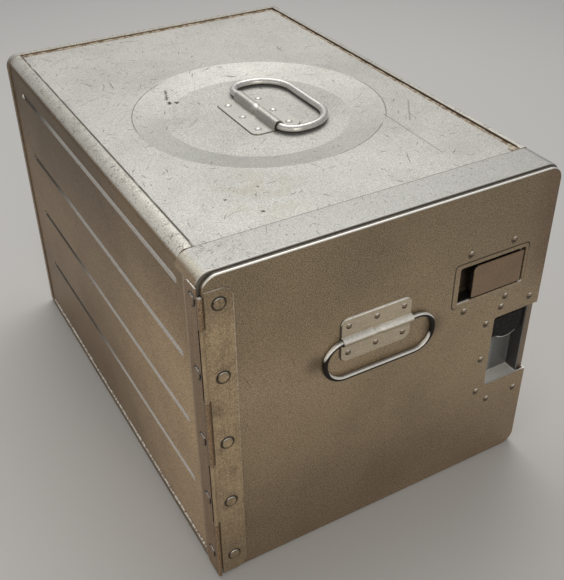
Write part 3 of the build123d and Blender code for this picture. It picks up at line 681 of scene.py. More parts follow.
def side_colour(tree, at):
    """Brown side by its height, lifted to the front, with the pale rail on top, all as painted
    reflection.
    """
    tall = tint(tree, ease(tree, at.z, *side_foot_fade), side_low, side_mid)
    tall = tint(tree, ease(tree, at.z, *side_top_fade), tall, side_high)
    lift = tint(tree, ease(tree, at.y, *side_front_fade), no_lift, side_lift)
    tall = vector_calc(tree, "MULTIPLY", tall, lift)
    tall = scale(tree, tall, calc(tree, "MULTIPLY_ADD", cloudy(tree, at, 14.0), -0.16, 1.0))
    rail_lift = calc(tree, "MULTIPLY_ADD", ease(tree, at.y, *rail_front_fade), 0.42, 1.0)
    return tint(tree, ease(tree, at.up, 0.30, 0.58), tall, scale(tree, rail_pale, rail_lift))


def on_rail(tree, at):
    """The rail over the top edge."""
    return ease(tree, at.z, *rail_rise)


def side_grain(tree, at):
    """Depth of the speckle, which is less on the rail."""
    return calc(tree, "MULTIPLY_ADD", on_rail(tree, at), -1.4, 2.4)


print("colour of the sides ready")

# %% [markdown]
# Each pressed runner has painted shade along its upper edge. Its front part has a painted highlight along
# the lower half, and the rear of the groove is painted dark as shade.

# %% Runners
runner_first = 0.0702
runner_pitch = 0.0585
runner_last = 3.0
runner_front = -0.165
runner_rear = 0.159
glint_slant = 0.5
glint_fade = (0.02, -0.07)
# Heights over the middle of a runner.
upper_edge = 0.0019
groove_span = (-0.0024, 0.0020)
lit_span = (-0.0025, -0.0006)


def runner_offset(tree, at):
    """Height above the nearest runner's middle."""
    count = calc(tree, "DIVIDE", calc(tree, "SUBTRACT", at.z, runner_first), runner_pitch)
    count = calc(tree, "MAXIMUM", calc(tree, "ROUND", count), 0.0)
    count = calc(tree, "MINIMUM", count, runner_last)
    middle = calc(tree, "MULTIPLY_ADD", count, runner_pitch, runner_first)
    return calc(tree, "SUBTRACT", at.z, middle)


def runner_span(tree, at):
    """From the front end to the rear end of the runners."""
    return within(tree, at.y, runner_front, runner_rear, 0.003)


def runner_glint(tree, at):
    """Where the runners catch the light: over their front part, which is longer on the upper ones."""
    slant = calc(tree, "MULTIPLY_ADD", at.z, -glint_slant, at.y)
    return ease(tree, slant, *glint_fade)


def runner_shade(tree, at):
    """Painted shade: the upper edge, and the whole groove where it catches no light."""
    upper = near(tree, runner_offset(tree, at), upper_edge, 0.0015)
    unlit = calc(tree, "SUBTRACT", 1.0, runner_glint(tree, at))
    groove = within(tree, runner_offset(tree, at), *groove_span, 0.0005)
    dark = most(tree, both(tree, upper, 0.6), both(tree, groove, unlit, 0.75))
    return both(tree, dark, runner_span(tree, at))


def runner_shine(tree, at):
    """Painted highlight on the lower half, weaker on the right side."""
    lower = within(tree, runner_offset(tree, at), *lit_span, 0.0005)
    by_side = calc(tree, "MULTIPLY_ADD", ease(tree, at.x, 0.02, -0.02), 0.6, 0.4)
    return both(tree, lower, runner_span(tree, at), runner_glint(tree, at), 0.76, by_side)


print("runners ready")

# %% Dirt and shine of the sides
side_seam = 0.1288
side_seam_rise = (0.255, 0.262)
side_foot_line = (0.0095, 0.0070)


def side_dirt_and_shade(tree, at):
    """Painted shade of the runners, chips and cracks of the rail, the seam inside the rail and the foot.
    """
    bend = both(tree, within(tree, at.up, 0.25, 0.98, 0.15), on_rail(tree, at))
    rail_chips = use_group(tree, flecks, Vector=at.place, Scale=620.0, Low=0.60, High=0.72)
    rail_chips = both(tree, rail_chips, bend, 0.5)
    seam = near(tree, calc(tree, "ABSOLUTE", at.x), side_seam, 0.0011)
    seam = both(tree, seam, ease(tree, at.z, *side_seam_rise), 0.85)
    foot = both(tree, ease(tree, at.z, *side_foot_line), 0.6)
    patchy = use_group(tree, clouds, Vector=at.place, Scale=120.0, Low=0.48, High=0.62)
    net = use_group(tree, cracks, Vector=at.place, Cells=260.0, Width=0.09, Warp=1.6)
    net = both(tree, net, patchy, within(tree, at.up, 0.55, 1.0, 0.1), on_rail(tree, at), 0.8)
    return most(tree, runner_shade(tree, at), rail_chips, seam, foot, net)


def side_shine(tree, at):
    """Painted highlights of the runners, and the bright chips of the rail."""
    bright = use_group(tree, flecks, Vector=at.place, Scale=480.0, Low=0.62, High=0.72)
    bright = both(tree, bright, within(tree, at.up, 0.30, 0.80, 0.1), on_rail(tree, at), 0.22)
    return most(tree, runner_shine(tree, at), bright)


dress(sheet_metal("worn_side_sheet", "YZ", side_colour, metallic=0.2, rough=0.46, share=0.22,
                  dirt_and_shade_of=side_dirt_and_shade, shine_of=side_shine, fold=True, grain_depth=side_grain,
                  specular=0.15), "left_side_panel", "right_side_panel")

# %% [markdown]
# ### Rear panel and bottom pan
# These see less wear. The rim of the rear panel is painted pale where it looks up, as light, and brown
# where it stands.

# %% Rear panel and bottom pan
rear_brown = (0.245, 0.182, 0.116)
rear_dark = (0.215, 0.158, 0.100)
rim_pale = (0.50, 0.475, 0.42)


def rear_colour(tree, at):
    """Brown sheet with a rim painted pale where it faces up."""
    sheet = tint(tree, cloudy(tree, at, 11.0), rear_brown, rear_dark)
    return tint(tree, ease(tree, at.up, 0.35, 0.85), sheet, rim_pale)


def rear_dirt(tree, at):
    """Chips along the bend of the rim."""
    rim_chips = use_group(tree, flecks, Vector=at.place, Scale=620.0, Low=0.60, High=0.72)
    return both(tree, rim_chips, within(tree, at.up, 0.25, 0.98, 0.15), 0.5)


dress(sheet_metal("worn_rear_sheet", "XZ", rear_colour, metallic=0.5, rough=0.46, share=0.22,
                  dirt_and_shade_of=rear_dirt), "rear_panel")
dress(sheet_metal("worn_base_sheet", "XY", rear_colour, metallic=0.5, rough=0.46, share=0.22),
      "bottom_pan")

# %% [markdown]
# ### Door
# The door is brown-grey, paler across its middle as a painted reflection of the floor, with a clear
# speckle. Painted light makes it paler at the top left and beside the latch, and darker at the left of
# its foot; it is redder at its free edge. Its top edge has a painted highlight right at the front and
# painted shade behind. Painted shade lines the left end of the handle's saddle and the left and top of
# the latch border, a painted shadow sits below and left of each rivet, and two soft patches of painted
# shade sit at the ends of the handle.

# %% Colour of the door skin
# Painted reflection: the door is palest across its middle, where it mirrors the floor; door_edge_dark is
# painted shade on the top edge.
door_high = (0.255, 0.195, 0.122)
door_mid = (0.355, 0.270, 0.172)
door_low = (0.288, 0.210, 0.134)
door_free_edge = (0.212, 0.146, 0.096)
door_edge_dark = (0.10, 0.085, 0.07)
pale_place = (0.040, 0.215)
pale_reach = 0.080
door_left_rise = (0.03, 0.19)
door_left_fade = (0.03, -0.08)
door_foot_fade = (0.030, 0.120)
door_top_fade = (0.160, 0.235)
free_edge_fade = (0.110, 0.141)
free_edge_rise = (0.15, 0.20)


def door_tone(tree, at):
    """Tone round 1 of painted light: the left side from dark foot to pale top, and the pale place beside
    the latch.
    """
    left = calc(tree, "MULTIPLY_ADD", ease(tree, at.z, *door_left_rise), 0.23, -0.09)
    left = both(tree, left, ease(tree, at.x, *door_left_fade))
    beside = both(tree, ease(tree, distance_to(tree, at.flat, *pale_place), pale_reach, 0.0), 0.20)
    return calc(tree, "ADD", calc(tree, "ADD", left, beside), 1.0)


def door_colour(tree, at):
    """Brown by height, palest in the middle as painted reflection, in soft clouds, redder at the free
    edge, with painted shade on the top edge.
    """
    face = tint(tree, ease(tree, at.z, *door_foot_fade), door_low, door_mid)
    face = tint(tree, ease(tree, at.z, *door_top_fade), face, door_high)
    tone = calc(tree, "MULTIPLY_ADD", cloudy(tree, at, 16.0), -0.14, door_tone(tree, at))
    free_edge = both(tree, ease(tree, at.x, *free_edge_fade), ease(tree, at.z, *free_edge_rise))
    face = tint(tree, free_edge, scale(tree, face, tone), door_free_edge)
    return tint(tree, ease(tree, at.up, 0.5, 0.9), face, door_edge_dark)


print("colour of the door ready")

# %% Dirt and shine of the door skin
door_saddle_centre = (-0.0123, 0.1824, 0)
door_saddle_half = (0.0289, 0.0182, 0)
latch_centre = (0.0873, 0.1916, 0)
latch_half = (0.0336, 0.0186, 0)
latch_corner = 0.003
saddle_left_fade = (-0.0350, -0.0405)
border_left_fade = (0.062, 0.054)
border_top_fade = (0.200, 0.208)
# X, Z, reach and strength of each soft patch of painted shade at the ends of the handle.
handle_end_shades = ((-0.0598, 0.1698, 0.013, 0.60), (0.0383, 0.1656, 0.015, 0.52))
door_rivets = [(x, z) for x in (0.0662, 0.1054) for z in (0.1675, 0.2170)]
door_rivets += [(x, z) for x in (0.1029, 0.1310) for z in (0.0660, 0.1585)]
door_rivets += [(0.0903, z) for z in (0.0793, 0.1121, 0.1468)]
# Painted shadow of each rivet: a soft disc shifted left and down.
ring_fade = (0.0033, 0.0022)
ring_left = 0.0005
ring_drop = 0.0007
door_front_edge = (-0.2006, -0.2013)
notch_left = (0.095, 0.098)
notch_foot = (0.10, 0.09)


def door_painted_shade(tree, at):
    """Painted shade at the left end of the saddle and the left and top of the latch border, soft patches
    at the ends of the handle, and a painted shadow below and left of each rivet.
    """
    saddle = use_group(tree, outline, Vector=at.flat, Centre=door_saddle_centre, Half=door_saddle_half,
                       Corner=saddle_corner, Width=0.0012)
    saddle = both(tree, saddle, ease(tree, at.x, *saddle_left_fade), 0.9)
    border = use_group(tree, outline, Vector=at.flat, Centre=latch_centre, Half=latch_half,
                       Corner=latch_corner, Width=0.0013)
    top_left = most(tree, ease(tree, at.x, *border_left_fade), ease(tree, at.z, *border_top_fade))
    marks = [saddle, both(tree, border, top_left)]
    for x, z, shade_reach, strength in handle_end_shades:
        end_shade = ease(tree, distance_to(tree, at.flat, x, z), shade_reach, 0.0)
        marks.append(both(tree, end_shade, strength))
    for x, z in door_rivets:
        away = distance_to(tree, at.flat, x - ring_left, z - ring_drop)
        marks.append(both(tree, ease(tree, away, *ring_fade), 0.75))
    return most(tree, *marks)


def door_shine(tree, at):
    """Painted highlights on the front of the top edge and on the sill of the notch."""
    front = both(tree, ease(tree, at.y, *door_front_edge), ease(tree, at.up, 0.25, 0.6))
    sill = both(tree, ease(tree, at.up, 0.5, 0.8), ease(tree, at.x, *notch_left),
                ease(tree, at.z, *notch_foot))
    return most(tree, front, sill)


dress(sheet_metal("worn_door_sheet", "XZ", door_colour, metallic=0.5, rough=0.44, share=0.14,
                  dirt_and_shade_of=door_painted_shade, shine_of=door_shine), "door_skin")

# %% [markdown]
# ### Latch pan and paddle
# The border of the latch is the same sheet as the door. Inside its window the pan is painted nearly
# black as shade, with painted light on its floor and a painted highlight along the lower edge of the
# window. The paddle is browner than the door, painted black behind as shade.

# %% Latch pan and paddle
# pan_black is painted shade inside the pan and behind the paddle; pan_floor is painted light on the
# floor.
pan_black = (0.030, 0.026, 0.022)
pan_floor = (0.30, 0.235, 0.165)
paddle_brown = (0.262, 0.180, 0.112)
window_sill = 0.1766
sill_ends = ((0.0590, 0.0690), (0.1160, 0.1180))
sill_front = (-0.2008, -0.2016)
pan_lip = (-0.2012, -0.2004)
pan_floor_fade = (0.196, 0.180)
pan_depth_fade = (-0.193, -0.189)
paddle_back = (-0.2021, -0.2013)


def latch_pan_colour(tree, at):
    """The door's colour on the border, painted black inside as shade, with painted light on the floor."""
    floor_light = both(tree, ease(tree, at.z, *pan_floor_fade), ease(tree, at.y, *pan_depth_fade), 0.8)
    inside_pan = tint(tree, floor_light, pan_black, pan_floor)
    return tint(tree, ease(tree, at.y, *pan_lip), door_colour(tree, at), inside_pan)


def latch_pan_shine(tree, at):
    """Painted highlight along the sill, on both sides of the paddle."""
    sill = both(tree, near(tree, at.z, window_sill, 0.0010), ease(tree, at.y, *sill_front))
    ends = [within(tree, at.x, *span, 0.001) for span in sill_ends]
    return both(tree, sill, most(tree, *ends), 0.9)


def paddle_colour(tree, at):
    """Brown face, painted black behind as shade."""
    tone = calc(tree, "MULTIPLY_ADD", cloudy(tree, at, 40.0), -0.12, 1.0)
    face = scale(tree, paddle_brown, tone)
    return tint(tree, ease(tree, at.y, *paddle_back), face, pan_black)


dress(sheet_metal("latch_pan_sheet", "XZ", latch_pan_colour, metallic=0.4, rough=0.46, share=0.1,
                  shine_of=latch_pan_shine), "latch_pan")
dress(sheet_metal("paddle_sheet", "XZ", paddle_colour, metallic=0.5, rough=0.42, share=0.1,
                  grain_depth=1.0), "latch_paddle")

# %% [markdown]
# ### Hidden sheets
# The door's inner pan and the doubler under the dish are clean, plain sheet.

# %% Inner sheets
clean_pale = (0.56, 0.55, 0.53)
clean_grey = (0.48, 0.47, 0.45)


def clean_colour(tree, at):
    """Pale sheet with faint clouds."""
    return tint(tree, cloudy(tree, at, 9.0), clean_pale, clean_grey)


dress(sheet_metal("inner_sheet", "XZ", clean_colour, metallic=0.6, rough=0.42, share=0.2,
                  grain_depth=0.3), "door_inner_pan", "top_handle_doubler")

# %% [markdown]
# ## Hinge, handles, latch steel
# Brushed or rolled metal is a noise stretched along one direction, with patches of tarnish. The hinge is
# yellower and dirtier, the handle wire has a painted highlight above and painted shade below, and the
# recess is greyer and cleaner.

# %% Recipe for brushed metal
# Dark colour of soot and of painted shade.
soot_and_shade = (0.018, 0.014, 0.011)
# How often the grain changes in a metre along X, Y and Z.
brushed_upright = (900, 900, 25)
brushed_across = (60, 600, 600)
rolled_wire = (300, 300, 300)
pressed_head = (400, 400, 400)
brush_roughness = 0.25
brush_middle = 0.12


def brushed_metal(name, pale, dark, stretch, metallic, rough, patch, dirt_and_shade_of=None, shine_of=None,
                  axes="XZ", speck=0.6, specular=0.5):
    """Metal with a grain; patch is how strong the tarnish is, speck how deep the speckle."""
    finish, tree, shader = start_finish(name)
    at = lay_flat(tree, axes)
    run = put(tree, "Mapping", Vector=at.place, Scale=stretch).outputs[0]
    grain = noise(tree, run, Scale=1.0, Detail=4.0, Roughness=0.65)
    cloud = use_group(tree, clouds, Vector=at.place, Scale=45.0, Low=0.38, High=0.70)
    shade = calc(tree, "MULTIPLY_ADD", cloud, patch, both(tree, ease(tree, grain, 0.35, 0.75), 0.5))
    colour = tint(tree, shade, pale, dark)
    if dirt_and_shade_of:
        colour = tint(tree, dirt_and_shade_of(tree, at), colour, soot_and_shade)
    if shine_of:
        colour = tint(tree, shine_of(tree, at), colour, highlight_and_rubbed)
    tone = use_group(tree, speckle, Vector=at.place, Grain=1050.0, Grain_Depth=speck, Patch_Depth=0.4)
    feed(tree, shader.inputs["Base Color"], scale(tree, colour, tone))
    shader.inputs["Metallic"].default_value = metallic
    shader.inputs["Specular IOR Level"].default_value = specular
    roughness = calc(tree, "MULTIPLY_ADD", grain, brush_roughness, rough - brush_middle)
    feed(tree, shader.inputs["Roughness"], roughness)
    bump = put(tree, "Bump", Strength=0.25, Distance=0.0001, Height=grain)
    feed(tree, shader.inputs["Normal"], bump.outputs["Normal"])
    return finish


print("recipe for brushed metal ready")

# %% [markdown]
# ### Hinge leaves
# Each flat rivet has a dark ring with a painted glint over it, and painted shade fills the crease beside
# the barrel. The door's leaf is darker at both ends, and its free edge has a thin pale line. The side's
# leaf is browner all over.

# %% Hinge leaves
door_leaf_pale = (0.48, 0.360, 0.216)
door_leaf_dark = (0.27, 0.195, 0.12)
side_leaf_pale = (0.315, 0.208, 0.118)
side_leaf_dark = (0.18, 0.113, 0.062)
door_leaf_first = (-0.1284, 0.0184, 0)
side_leaf_first = (-0.1950, 0.0215, 0)
leaf_pitch = 0.0571
leaf_last = 4.0
leaf_ring_radius = 0.0045
leaf_ring_width = 0.0016
leaf_top_end = (0.222, 0.252)
leaf_foot = (0.095, 0.0)
leaf_edge = -0.1188
leaf_edge_rise = (0.05, 0.20)
barrel_crease = -0.2012


def leaf_rings(tree, at, first):
    """Dark rings round a leaf's five flat rivets."""
    return use_group(tree, rings, Vector=at.flat, First=first, Pitch=leaf_pitch, Last=leaf_last,
                     Radius=leaf_ring_radius, Width=leaf_ring_width)


def door_leaf_dirt(tree, at):
    """Rings, rust, and the dark ends."""
    rust = use_group(tree, clouds, Vector=at.place, Scale=70.0, Low=0.50, High=0.70)
    top_end = both(tree, ease(tree, at.z, *leaf_top_end), 0.35)
    foot = both(tree, ease(tree, at.z, *leaf_foot), 0.36)
    return most(tree, leaf_rings(tree, at, door_leaf_first), both(tree, rust, 0.30), top_end, foot)


def side_leaf_rings_and_shade(tree, at):
    """Rings, and painted shade in the crease beside the barrel."""
    crease = both(tree, near(tree, at.y, barrel_crease, 0.0008), 0.8)
    return most(tree, leaf_rings(tree, at, side_leaf_first), crease)


def leaf_shine(tree, at):
    """Painted glint where the metal looks up, and a thin pale line along the free edge."""
    edge = both(tree, near(tree, at.x, leaf_edge, 0.0006), ease(tree, at.z, *leaf_edge_rise), 0.25)
    return most(tree, both(tree, ease(tree, at.up, 0.35, 0.7), 0.6), edge)


dress(brushed_metal("door_leaf_metal", door_leaf_pale, door_leaf_dark, brushed_upright, metallic=0.4,
                    rough=0.45, patch=0.45, dirt_and_shade_of=door_leaf_dirt, shine_of=leaf_shine, speck=1.5),
      "hinge_door_leaf", "hinge_door_rivets", "hinge_pin")
dress(brushed_metal("side_leaf_metal", side_leaf_pale, side_leaf_dark, brushed_upright, metallic=0.4,
                    rough=0.45, patch=0.45, dirt_and_shade_of=side_leaf_rings_and_shade, shine_of=leaf_shine, axes="YZ",
                    speck=2.6), "hinge_side_leaf", "hinge_side_rivets")

# %% [markdown]
# ### Handle wires
# The top wire is pale, with painted shade underneath and a ring of painted shade where it leaves the
# saddle's tunnel. The door's wire stands upright, so a painted highlight runs along its upper shoulder,
# between bands of painted shade.

# %% Handle wires
wire_pale = (0.74, 0.73, 0.69)
wire_grey = (0.52, 0.50, 0.46)
tunnel_mouth = -0.0448
mouth_side = (0.012, 0.007)


def top_wire_shade(tree, at):
    """Painted shade on the underside, and a ring of it at the tunnel's mouth."""
    under = both(tree, ease(tree, at.up, -0.05, -0.45), 0.9)
    mouth = both(tree, near(tree, at.y, tunnel_mouth, 0.0026), ease(tree, at.x, *mouth_side))
    return most(tree, under, mouth)


def door_wire_shade(tree, at):
    """Painted shade on the middle, and more faintly on the crown."""
    crown = both(tree, ease(tree, at.up, 0.80, 0.95), 0.5)
    return most(tree, within(tree, at.up, -0.60, 0.22, 0.15), crown)


def door_wire_shine(tree, at):
    """Painted highlight on the upper shoulder."""
    return within(tree, at.up, 0.42, 0.80, 0.12)


dress(brushed_metal("top_wire", wire_pale, wire_grey, rolled_wire, metallic=0.6, rough=0.36, patch=0.3,
                    dirt_and_shade_of=top_wire_shade), "top_handle")
dress(brushed_metal("door_wire", wire_pale, wire_grey, rolled_wire, metallic=0.1, rough=0.30, patch=0.3,
                    dirt_and_shade_of=door_wire_shade, shine_of=door_wire_shine, specular=0.15), "door_handle")

# %% [markdown]
# ### Saddles
# The saddles are clean, pale sheet, with a painted highlight along the crest of the tunnel. The top one
# has a dark ring round each rivet and painted shade on its left flank, the door's one a painted highlight
# on its upper edge and painted shade on its left end and underside.

# %% Saddles
top_saddle_pale = (0.62, 0.61, 0.56)
top_saddle_grey = (0.47, 0.455, 0.41)
door_saddle_pale = (0.49, 0.42, 0.305)
door_saddle_grey = (0.35, 0.285, 0.195)
top_saddle_rivets = [(x, y) for x in (-0.01195, 0.01535) for y in (-0.0360, -0.0107, 0.0146)]
saddle_ring_fade = (0.0033, 0.0025)
tunnel_middle = -0.0107
crest_rise = (0.2655, 0.2690)
saddle_left_end = (-0.0399, -0.0408)
saddle_upper_edge = (0.1988, 0.1993)


def door_saddle_shade(tree, at):
    """Painted shade on the left end and the underside."""
    left = both(tree, ease(tree, at.x, *saddle_left_end), 0.8)
    under = both(tree, ease(tree, at.up, -0.1, -0.5), 0.7)
    return most(tree, left, under)


def door_saddle_shine(tree, at):
    """Painted highlight on the upper half of the tunnel, and on the upper edge in broken dashes."""
    broken = use_group(tree, clouds, Vector=at.place, Scale=160.0, Low=0.34, High=0.46)
    edge = both(tree, ease(tree, at.z, *saddle_upper_edge), broken)
    return most(tree, ease(tree, at.up, 0.05, 0.40), edge)


def top_saddle_shade_and_rings(tree, at):
    """Painted shade on the left flank of the tunnel, and a ring at each rivet."""
    marks = [both(tree, ease(tree, at.out_x, -0.2, -0.8), 0.2)]
    for x, y in top_saddle_rivets:
        away = distance_to(tree, at.flat, x, y)
        marks.append(both(tree, ease(tree, away, *saddle_ring_fade), 0.6))
    return most(tree, *marks)


def top_saddle_shine(tree, at):
    """Painted glint on the middle of the crest."""
    return both(tree, near(tree, at.y, tunnel_middle, 0.006), ease(tree, at.z, *crest_rise), 0.6)


dress(brushed_metal("top_saddle_sheet", top_saddle_pale, top_saddle_grey, brushed_across, metallic=0.6,
                    rough=0.42, patch=0.3, dirt_and_shade_of=top_saddle_shade_and_rings, shine_of=top_saddle_shine,
                    axes="XY"), "top_handle_saddle")
dress(brushed_metal("door_saddle_sheet", door_saddle_pale, door_saddle_grey, brushed_across,
                    metallic=0.08, rough=0.42, patch=0.3, dirt_and_shade_of=door_saddle_shade,
                    shine_of=door_saddle_shine), "door_handle_saddle")

# %% [markdown]
# ### Rivets
# The rivets on the top are bright. Those on the door are browner, with a painted highlight above and
# painted shade below.

# %% Rivets
top_rivet_pale = (0.96, 0.95, 0.90)
top_rivet_grey = (0.84, 0.83, 0.78)
door_rivet_pale = (0.25, 0.190, 0.125)
door_rivet_dark = (0.18, 0.135, 0.088)


def rivet_shade(tree, at):
    """Painted shade on the lower half."""
    return both(tree, ease(tree, at.up, 0.15, -0.20), 0.9)


def rivet_shine(tree, at):
    """Painted highlight on the top."""
    return both(tree, ease(tree, at.up, 0.46, 0.66), 0.8)


dress(brushed_metal("top_rivet_metal", top_rivet_pale, top_rivet_grey, pressed_head, metallic=0.45,
                    rough=0.30, patch=0.2), "top_handle_rivets")
dress(brushed_metal("door_rivet_metal", door_rivet_pale, door_rivet_dark, pressed_head, metallic=0.3,
                    rough=0.55, patch=0.2, dirt_and_shade_of=rivet_shade, shine_of=rivet_shine),
      "door_handle_rivets", "latch_rivets", "catch_rivets")

# %% [markdown]
# ### Catch recess and latch steel
# The recess is brushed up and down. Painted light brightens its floor and the foot of its back, and
# painted shade darkens its upper part under the tab, its right part and wall, and the crease on its left.
# Bolt, keeper and pins are plain steel.

# %% Catch recess and latch steel
catch_pale = (0.50, 0.52, 0.50)
catch_grey = (0.32, 0.33, 0.32)
catch_grain = (900, 900, 18)
catch_crease = 0.0985
crease_depth = (-0.193, -0.190)
tab_shade = (0.086, 0.125)
catch_right = (0.104, 0.117)
ledge_depth = (-0.1893, -0.1905)
catch_foot = (0.104, 0.086)
catch_foot_side = (0.113, 0.101)
steel_pale = (0.50, 0.49, 0.47)
steel_grey = (0.34, 0.33, 0.31)
steel_grain = (400, 400, 60)


def catch_shade(tree, at):
    """Painted shade below the tab, on the right part and wall, and in the crease on the left."""
    shade = both(tree, ease(tree, at.z, *tab_shade), 0.85)
    right = both(tree, ease(tree, at.x, *catch_right), 0.72)
    crease = both(tree, near(tree, at.x, catch_crease, 0.0012), ease(tree, at.y, *crease_depth), 0.7)
    wall = both(tree, ease(tree, at.out_x, -0.3, -0.7), 0.9)
    return most(tree, shade, right, crease, wall)


def catch_shine(tree, at):
    """Painted light on the floor of the recess, and on the foot of its back."""
    ledge = both(tree, ease(tree, at.up, 0.4, 0.8), ease(tree, at.y, *ledge_depth))
    foot = both(tree, ease(tree, at.z, *catch_foot), ease(tree, at.x, *catch_foot_side), 0.35)
    return most(tree, ledge, foot)


dress(brushed_metal("catch_metal", catch_pale, catch_grey, catch_grain, metallic=0.25, rough=0.38,
                    patch=0.3, dirt_and_shade_of=catch_shade, shine_of=catch_shine), "catch_pan")
dress(brushed_metal("latch_steel", steel_pale, steel_grey, steel_grain, metallic=0.9, rough=0.35,
                    patch=0.3), "latch_bolt", "latch_keeper", "paddle_pin", "tab_pin")

# %% [markdown]
# ## Plastic, rubber, foam and sealant
# Soft materials have no grain direction, so a mottled noise between two colours is enough. The pull tab
# is glossy, its second colour stands for painted glints, and the lower edge of its lip has a painted
# highlight.

# %% Recipe for soft materials
soft_roughness = 0.3


def soft_finish(name, base, other, rough, size, shine_of=None):
    """Moulded, foamed or smeared material with a mottled grain; size is the grain's frequency."""
    finish, tree, shader = start_finish(name)
    at = lay_flat(tree, "XZ")
    grain = noise(tree, at.place, Scale=size, Detail=3.0)
    colour = tint(tree, ease(tree, grain, 0.4, 0.65), base, other)
    if shine_of:
        colour = tint(tree, shine_of(tree, at), colour, highlight_and_rubbed)
    feed(tree, shader.inputs["Base Color"], colour)
    roughness = calc(tree, "MULTIPLY_ADD", grain, soft_roughness, rough - soft_roughness / 2)
    feed(tree, shader.inputs["Roughness"], roughness)
    shader.inputs["Specular IOR Level"].default_value = 0.12
    bump = put(tree, "Bump", Strength=0.3, Distance=0.0002, Height=grain)
    feed(tree, shader.inputs["Normal"], bump.outputs["Normal"])
    return finish


print("recipe for soft materials ready")

# %% Pull tab, guide, seal, core and sealants
# The tab's second colour stands for painted glints.
tab_black, tab_glint = (0.003, 0.003, 0.003), (0.018, 0.017, 0.015)
guide_black, guide_worn = (0.012, 0.012, 0.012), (0.030, 0.028, 0.026)
rubber_black, rubber_worn = (0.03, 0.03, 0.03), (0.05, 0.05, 0.048)
foam_pale, foam_dark = (0.72, 0.66, 0.50), (0.62, 0.55, 0.40)
cream, cream_brown = (0.60, 0.52, 0.41), (0.30, 0.215, 0.14)
chalk, chalk_brown = (0.95, 0.91, 0.82), (0.30, 0.22, 0.15)
tab_centre = (0.1156, 0.1387)
tab_lip_radius = 0.0156
tab_lip_height = (0.1270, 0.1255)
tab_lip_front = (-0.1975, -0.1985)


def tab_shine(tree, at):
    """Painted highlight on the lower edge of the tab's lip."""
    spoke = distance_to(tree, at.flat, *tab_centre)
    lip = both(tree, near(tree, spoke, tab_lip_radius, 0.0010), ease(tree, at.z, *tab_lip_height))
    return both(tree, lip, ease(tree, at.y, *tab_lip_front))


dress(soft_finish("tab_plastic", tab_black, tab_glint, 0.40, 480.0, tab_shine), "pull_tab")
dress(soft_finish("guide_plastic", guide_black, guide_worn, 0.42, 900.0), "bolt_guide")
dress(soft_finish("seal_rubber", rubber_black, rubber_worn, 0.75, 600.0), "door_seal")
dress(soft_finish("core_foam", foam_pale, foam_dark, 0.9, 1200.0), "door_core")
cream_sealant = soft_finish("cream_sealant", cream, cream_brown, 0.7, 260.0)
pale_sealant = soft_finish("pale_sealant", chalk, chalk_brown, 0.7, 420.0)

# %% [markdown]
# ## Sealant in the seams
# A bead of sealant fills the corner between the top panel and the raised edges, smeared by hand. It could
# be a curve with a bevel, but a disc that is drawn out along the seam in short steps, each a little wider
# or narrower than the last, gives the uneven width of a real bead.

# %% Beads of sealant
bead_radius = 0.0009
bead_end_width = 0.5
right_rail_seam = ((0.1279, -0.1680, 0.2670), (0.1279, 0.1945, 0.2670))
rear_lip_seam = ((-0.1275, 0.1950, 0.2671), (0.1275, 0.1950, 0.2671))
foot_seam = ((-0.1401, -0.1790, 0.0070), (-0.1401, 0.1900, 0.0070))


def bead_width(index):
    """Width of a bead at a step, as a share of its first width."""
    return 1.0 + 0.22 * math.sin(2.3 * index) + 0.16 * math.sin(0.9 * index + 1.0)


def draw_bead(name, start, end, steps, finish):
    """Bead from start to end: a disc extruded in steps that swell and shrink."""
    start = Vector(start)
    step = (Vector(end) - start) / steps
    turn = step.to_track_quat("Z", "Y").to_euler()
    bpy.ops.object.select_all(action="DESELECT")
    bpy.ops.mesh.primitive_circle_add(vertices=8, radius=bead_radius, fill_type="NGON", location=start,
                                      rotation=turn)
    bead = bpy.context.object
    bead.name = name
    bpy.ops.object.mode_set(mode="EDIT")
    bpy.ops.mesh.select_all(action="SELECT")
    width = 1.0
    for index in range(1, steps + 1):
        bpy.ops.mesh.extrude_region_move(TRANSFORM_OT_translate={"value": step})
        next_width = bead_width(index) if index < steps else bead_end_width
        grow = next_width / width
        bpy.ops.transform.resize(value=(grow, grow, grow), center_override=start + step * index)
        width = next_width
    bpy.ops.mesh.select_all(action="SELECT")
    bpy.ops.mesh.normals_make_consistent(inside=False)
    bpy.ops.object.mode_set(mode="OBJECT")
    bpy.ops.object.transform_apply(location=True, rotation=True, scale=True)
    bpy.ops.object.shade_smooth_by_angle(angle=math.radians(60))
    bead.data.materials.append(finish)
    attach(bead, "carcass")
    print(name, len(bead.data.polygons), "faces")


draw_bead("right_rail_sealant", *right_rail_seam, 60, cream_sealant)
draw_bead("rear_lip_sealant", *rear_lip_seam, 44, cream_sealant)
draw_bead("foot_sealant", *foot_seam, 60, pale_sealant)

# %% [markdown]
# ## Smear at the right rail and plug in the left side
# Where the right rail meets the front strip, sealant is smeared flat over the step: a short block, with
# its edges bevelled well round. Near the rear of the left side a small plug closes a hole: a low disc
# whose face is inset and drawn out, so that it has a flat rim and a raised middle.

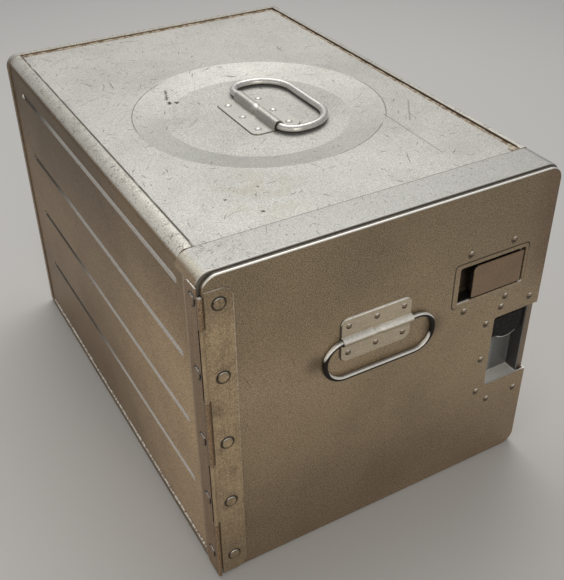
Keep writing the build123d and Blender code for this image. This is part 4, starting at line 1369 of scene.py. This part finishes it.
# %% Smear of sealant
smear_place = (0.1262, -0.1672, 0.2673)
smear_size = (0.0060, 0.0066, 0.0018)
smear_bevel = 0.0008

bpy.ops.object.select_all(action="DESELECT")
bpy.ops.mesh.primitive_cube_add(size=1.0, location=smear_place)
smear = bpy.context.object
smear.name = "rail_end_smear"
smear.scale = smear_size
bpy.ops.object.transform_apply(location=True, rotation=True, scale=True)
bpy.ops.object.mode_set(mode="EDIT")
bpy.ops.mesh.select_all(action="SELECT")
bpy.ops.mesh.bevel(offset=smear_bevel, segments=3)
bpy.ops.mesh.subdivide(number_cuts=2, smoothness=0.0, fractal=0.12, seed=4)
bpy.ops.object.mode_set(mode="OBJECT")
bpy.ops.object.shade_smooth_by_angle(angle=math.radians(50))
smear.data.materials.append(cream_sealant)
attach(smear, "carcass")
print(smear.name, len(smear.data.polygons), "faces")

# %% Plug in the left side
plug_place = (-0.1397, 0.1607, 0.2451)
plug_radius = 0.0021
plug_rim = 0.0006
rim_height = 0.0004
middle_height = 0.0005
plug_pale, plug_grey = (0.85, 0.84, 0.80), (0.74, 0.72, 0.67)

bpy.ops.object.select_all(action="DESELECT")
bpy.ops.mesh.primitive_circle_add(vertices=24, radius=plug_radius, fill_type="NGON", location=plug_place,
                                  rotation=(0, -math.pi / 2, 0))
plug = bpy.context.object
plug.name = "side_plug"
bpy.ops.object.mode_set(mode="EDIT")
bpy.ops.mesh.select_all(action="SELECT")
bpy.ops.mesh.extrude_region_move(TRANSFORM_OT_translate={"value": (-rim_height, 0, 0)})
bpy.ops.mesh.inset(thickness=plug_rim)
bpy.ops.mesh.extrude_region_move(TRANSFORM_OT_translate={"value": (-middle_height, 0, 0)})
bpy.ops.mesh.select_all(action="SELECT")
bpy.ops.mesh.normals_make_consistent(inside=False)
bpy.ops.object.mode_set(mode="OBJECT")
bpy.ops.object.transform_apply(location=True, rotation=True, scale=True)
bpy.ops.object.shade_smooth_by_angle(angle=math.radians(40))
plug.data.materials.append(soft_finish("plug_white", plug_pale, plug_grey, 0.5, 500.0))
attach(plug, "carcass")
print(plug.name, len(plug.data.polygons), "faces")
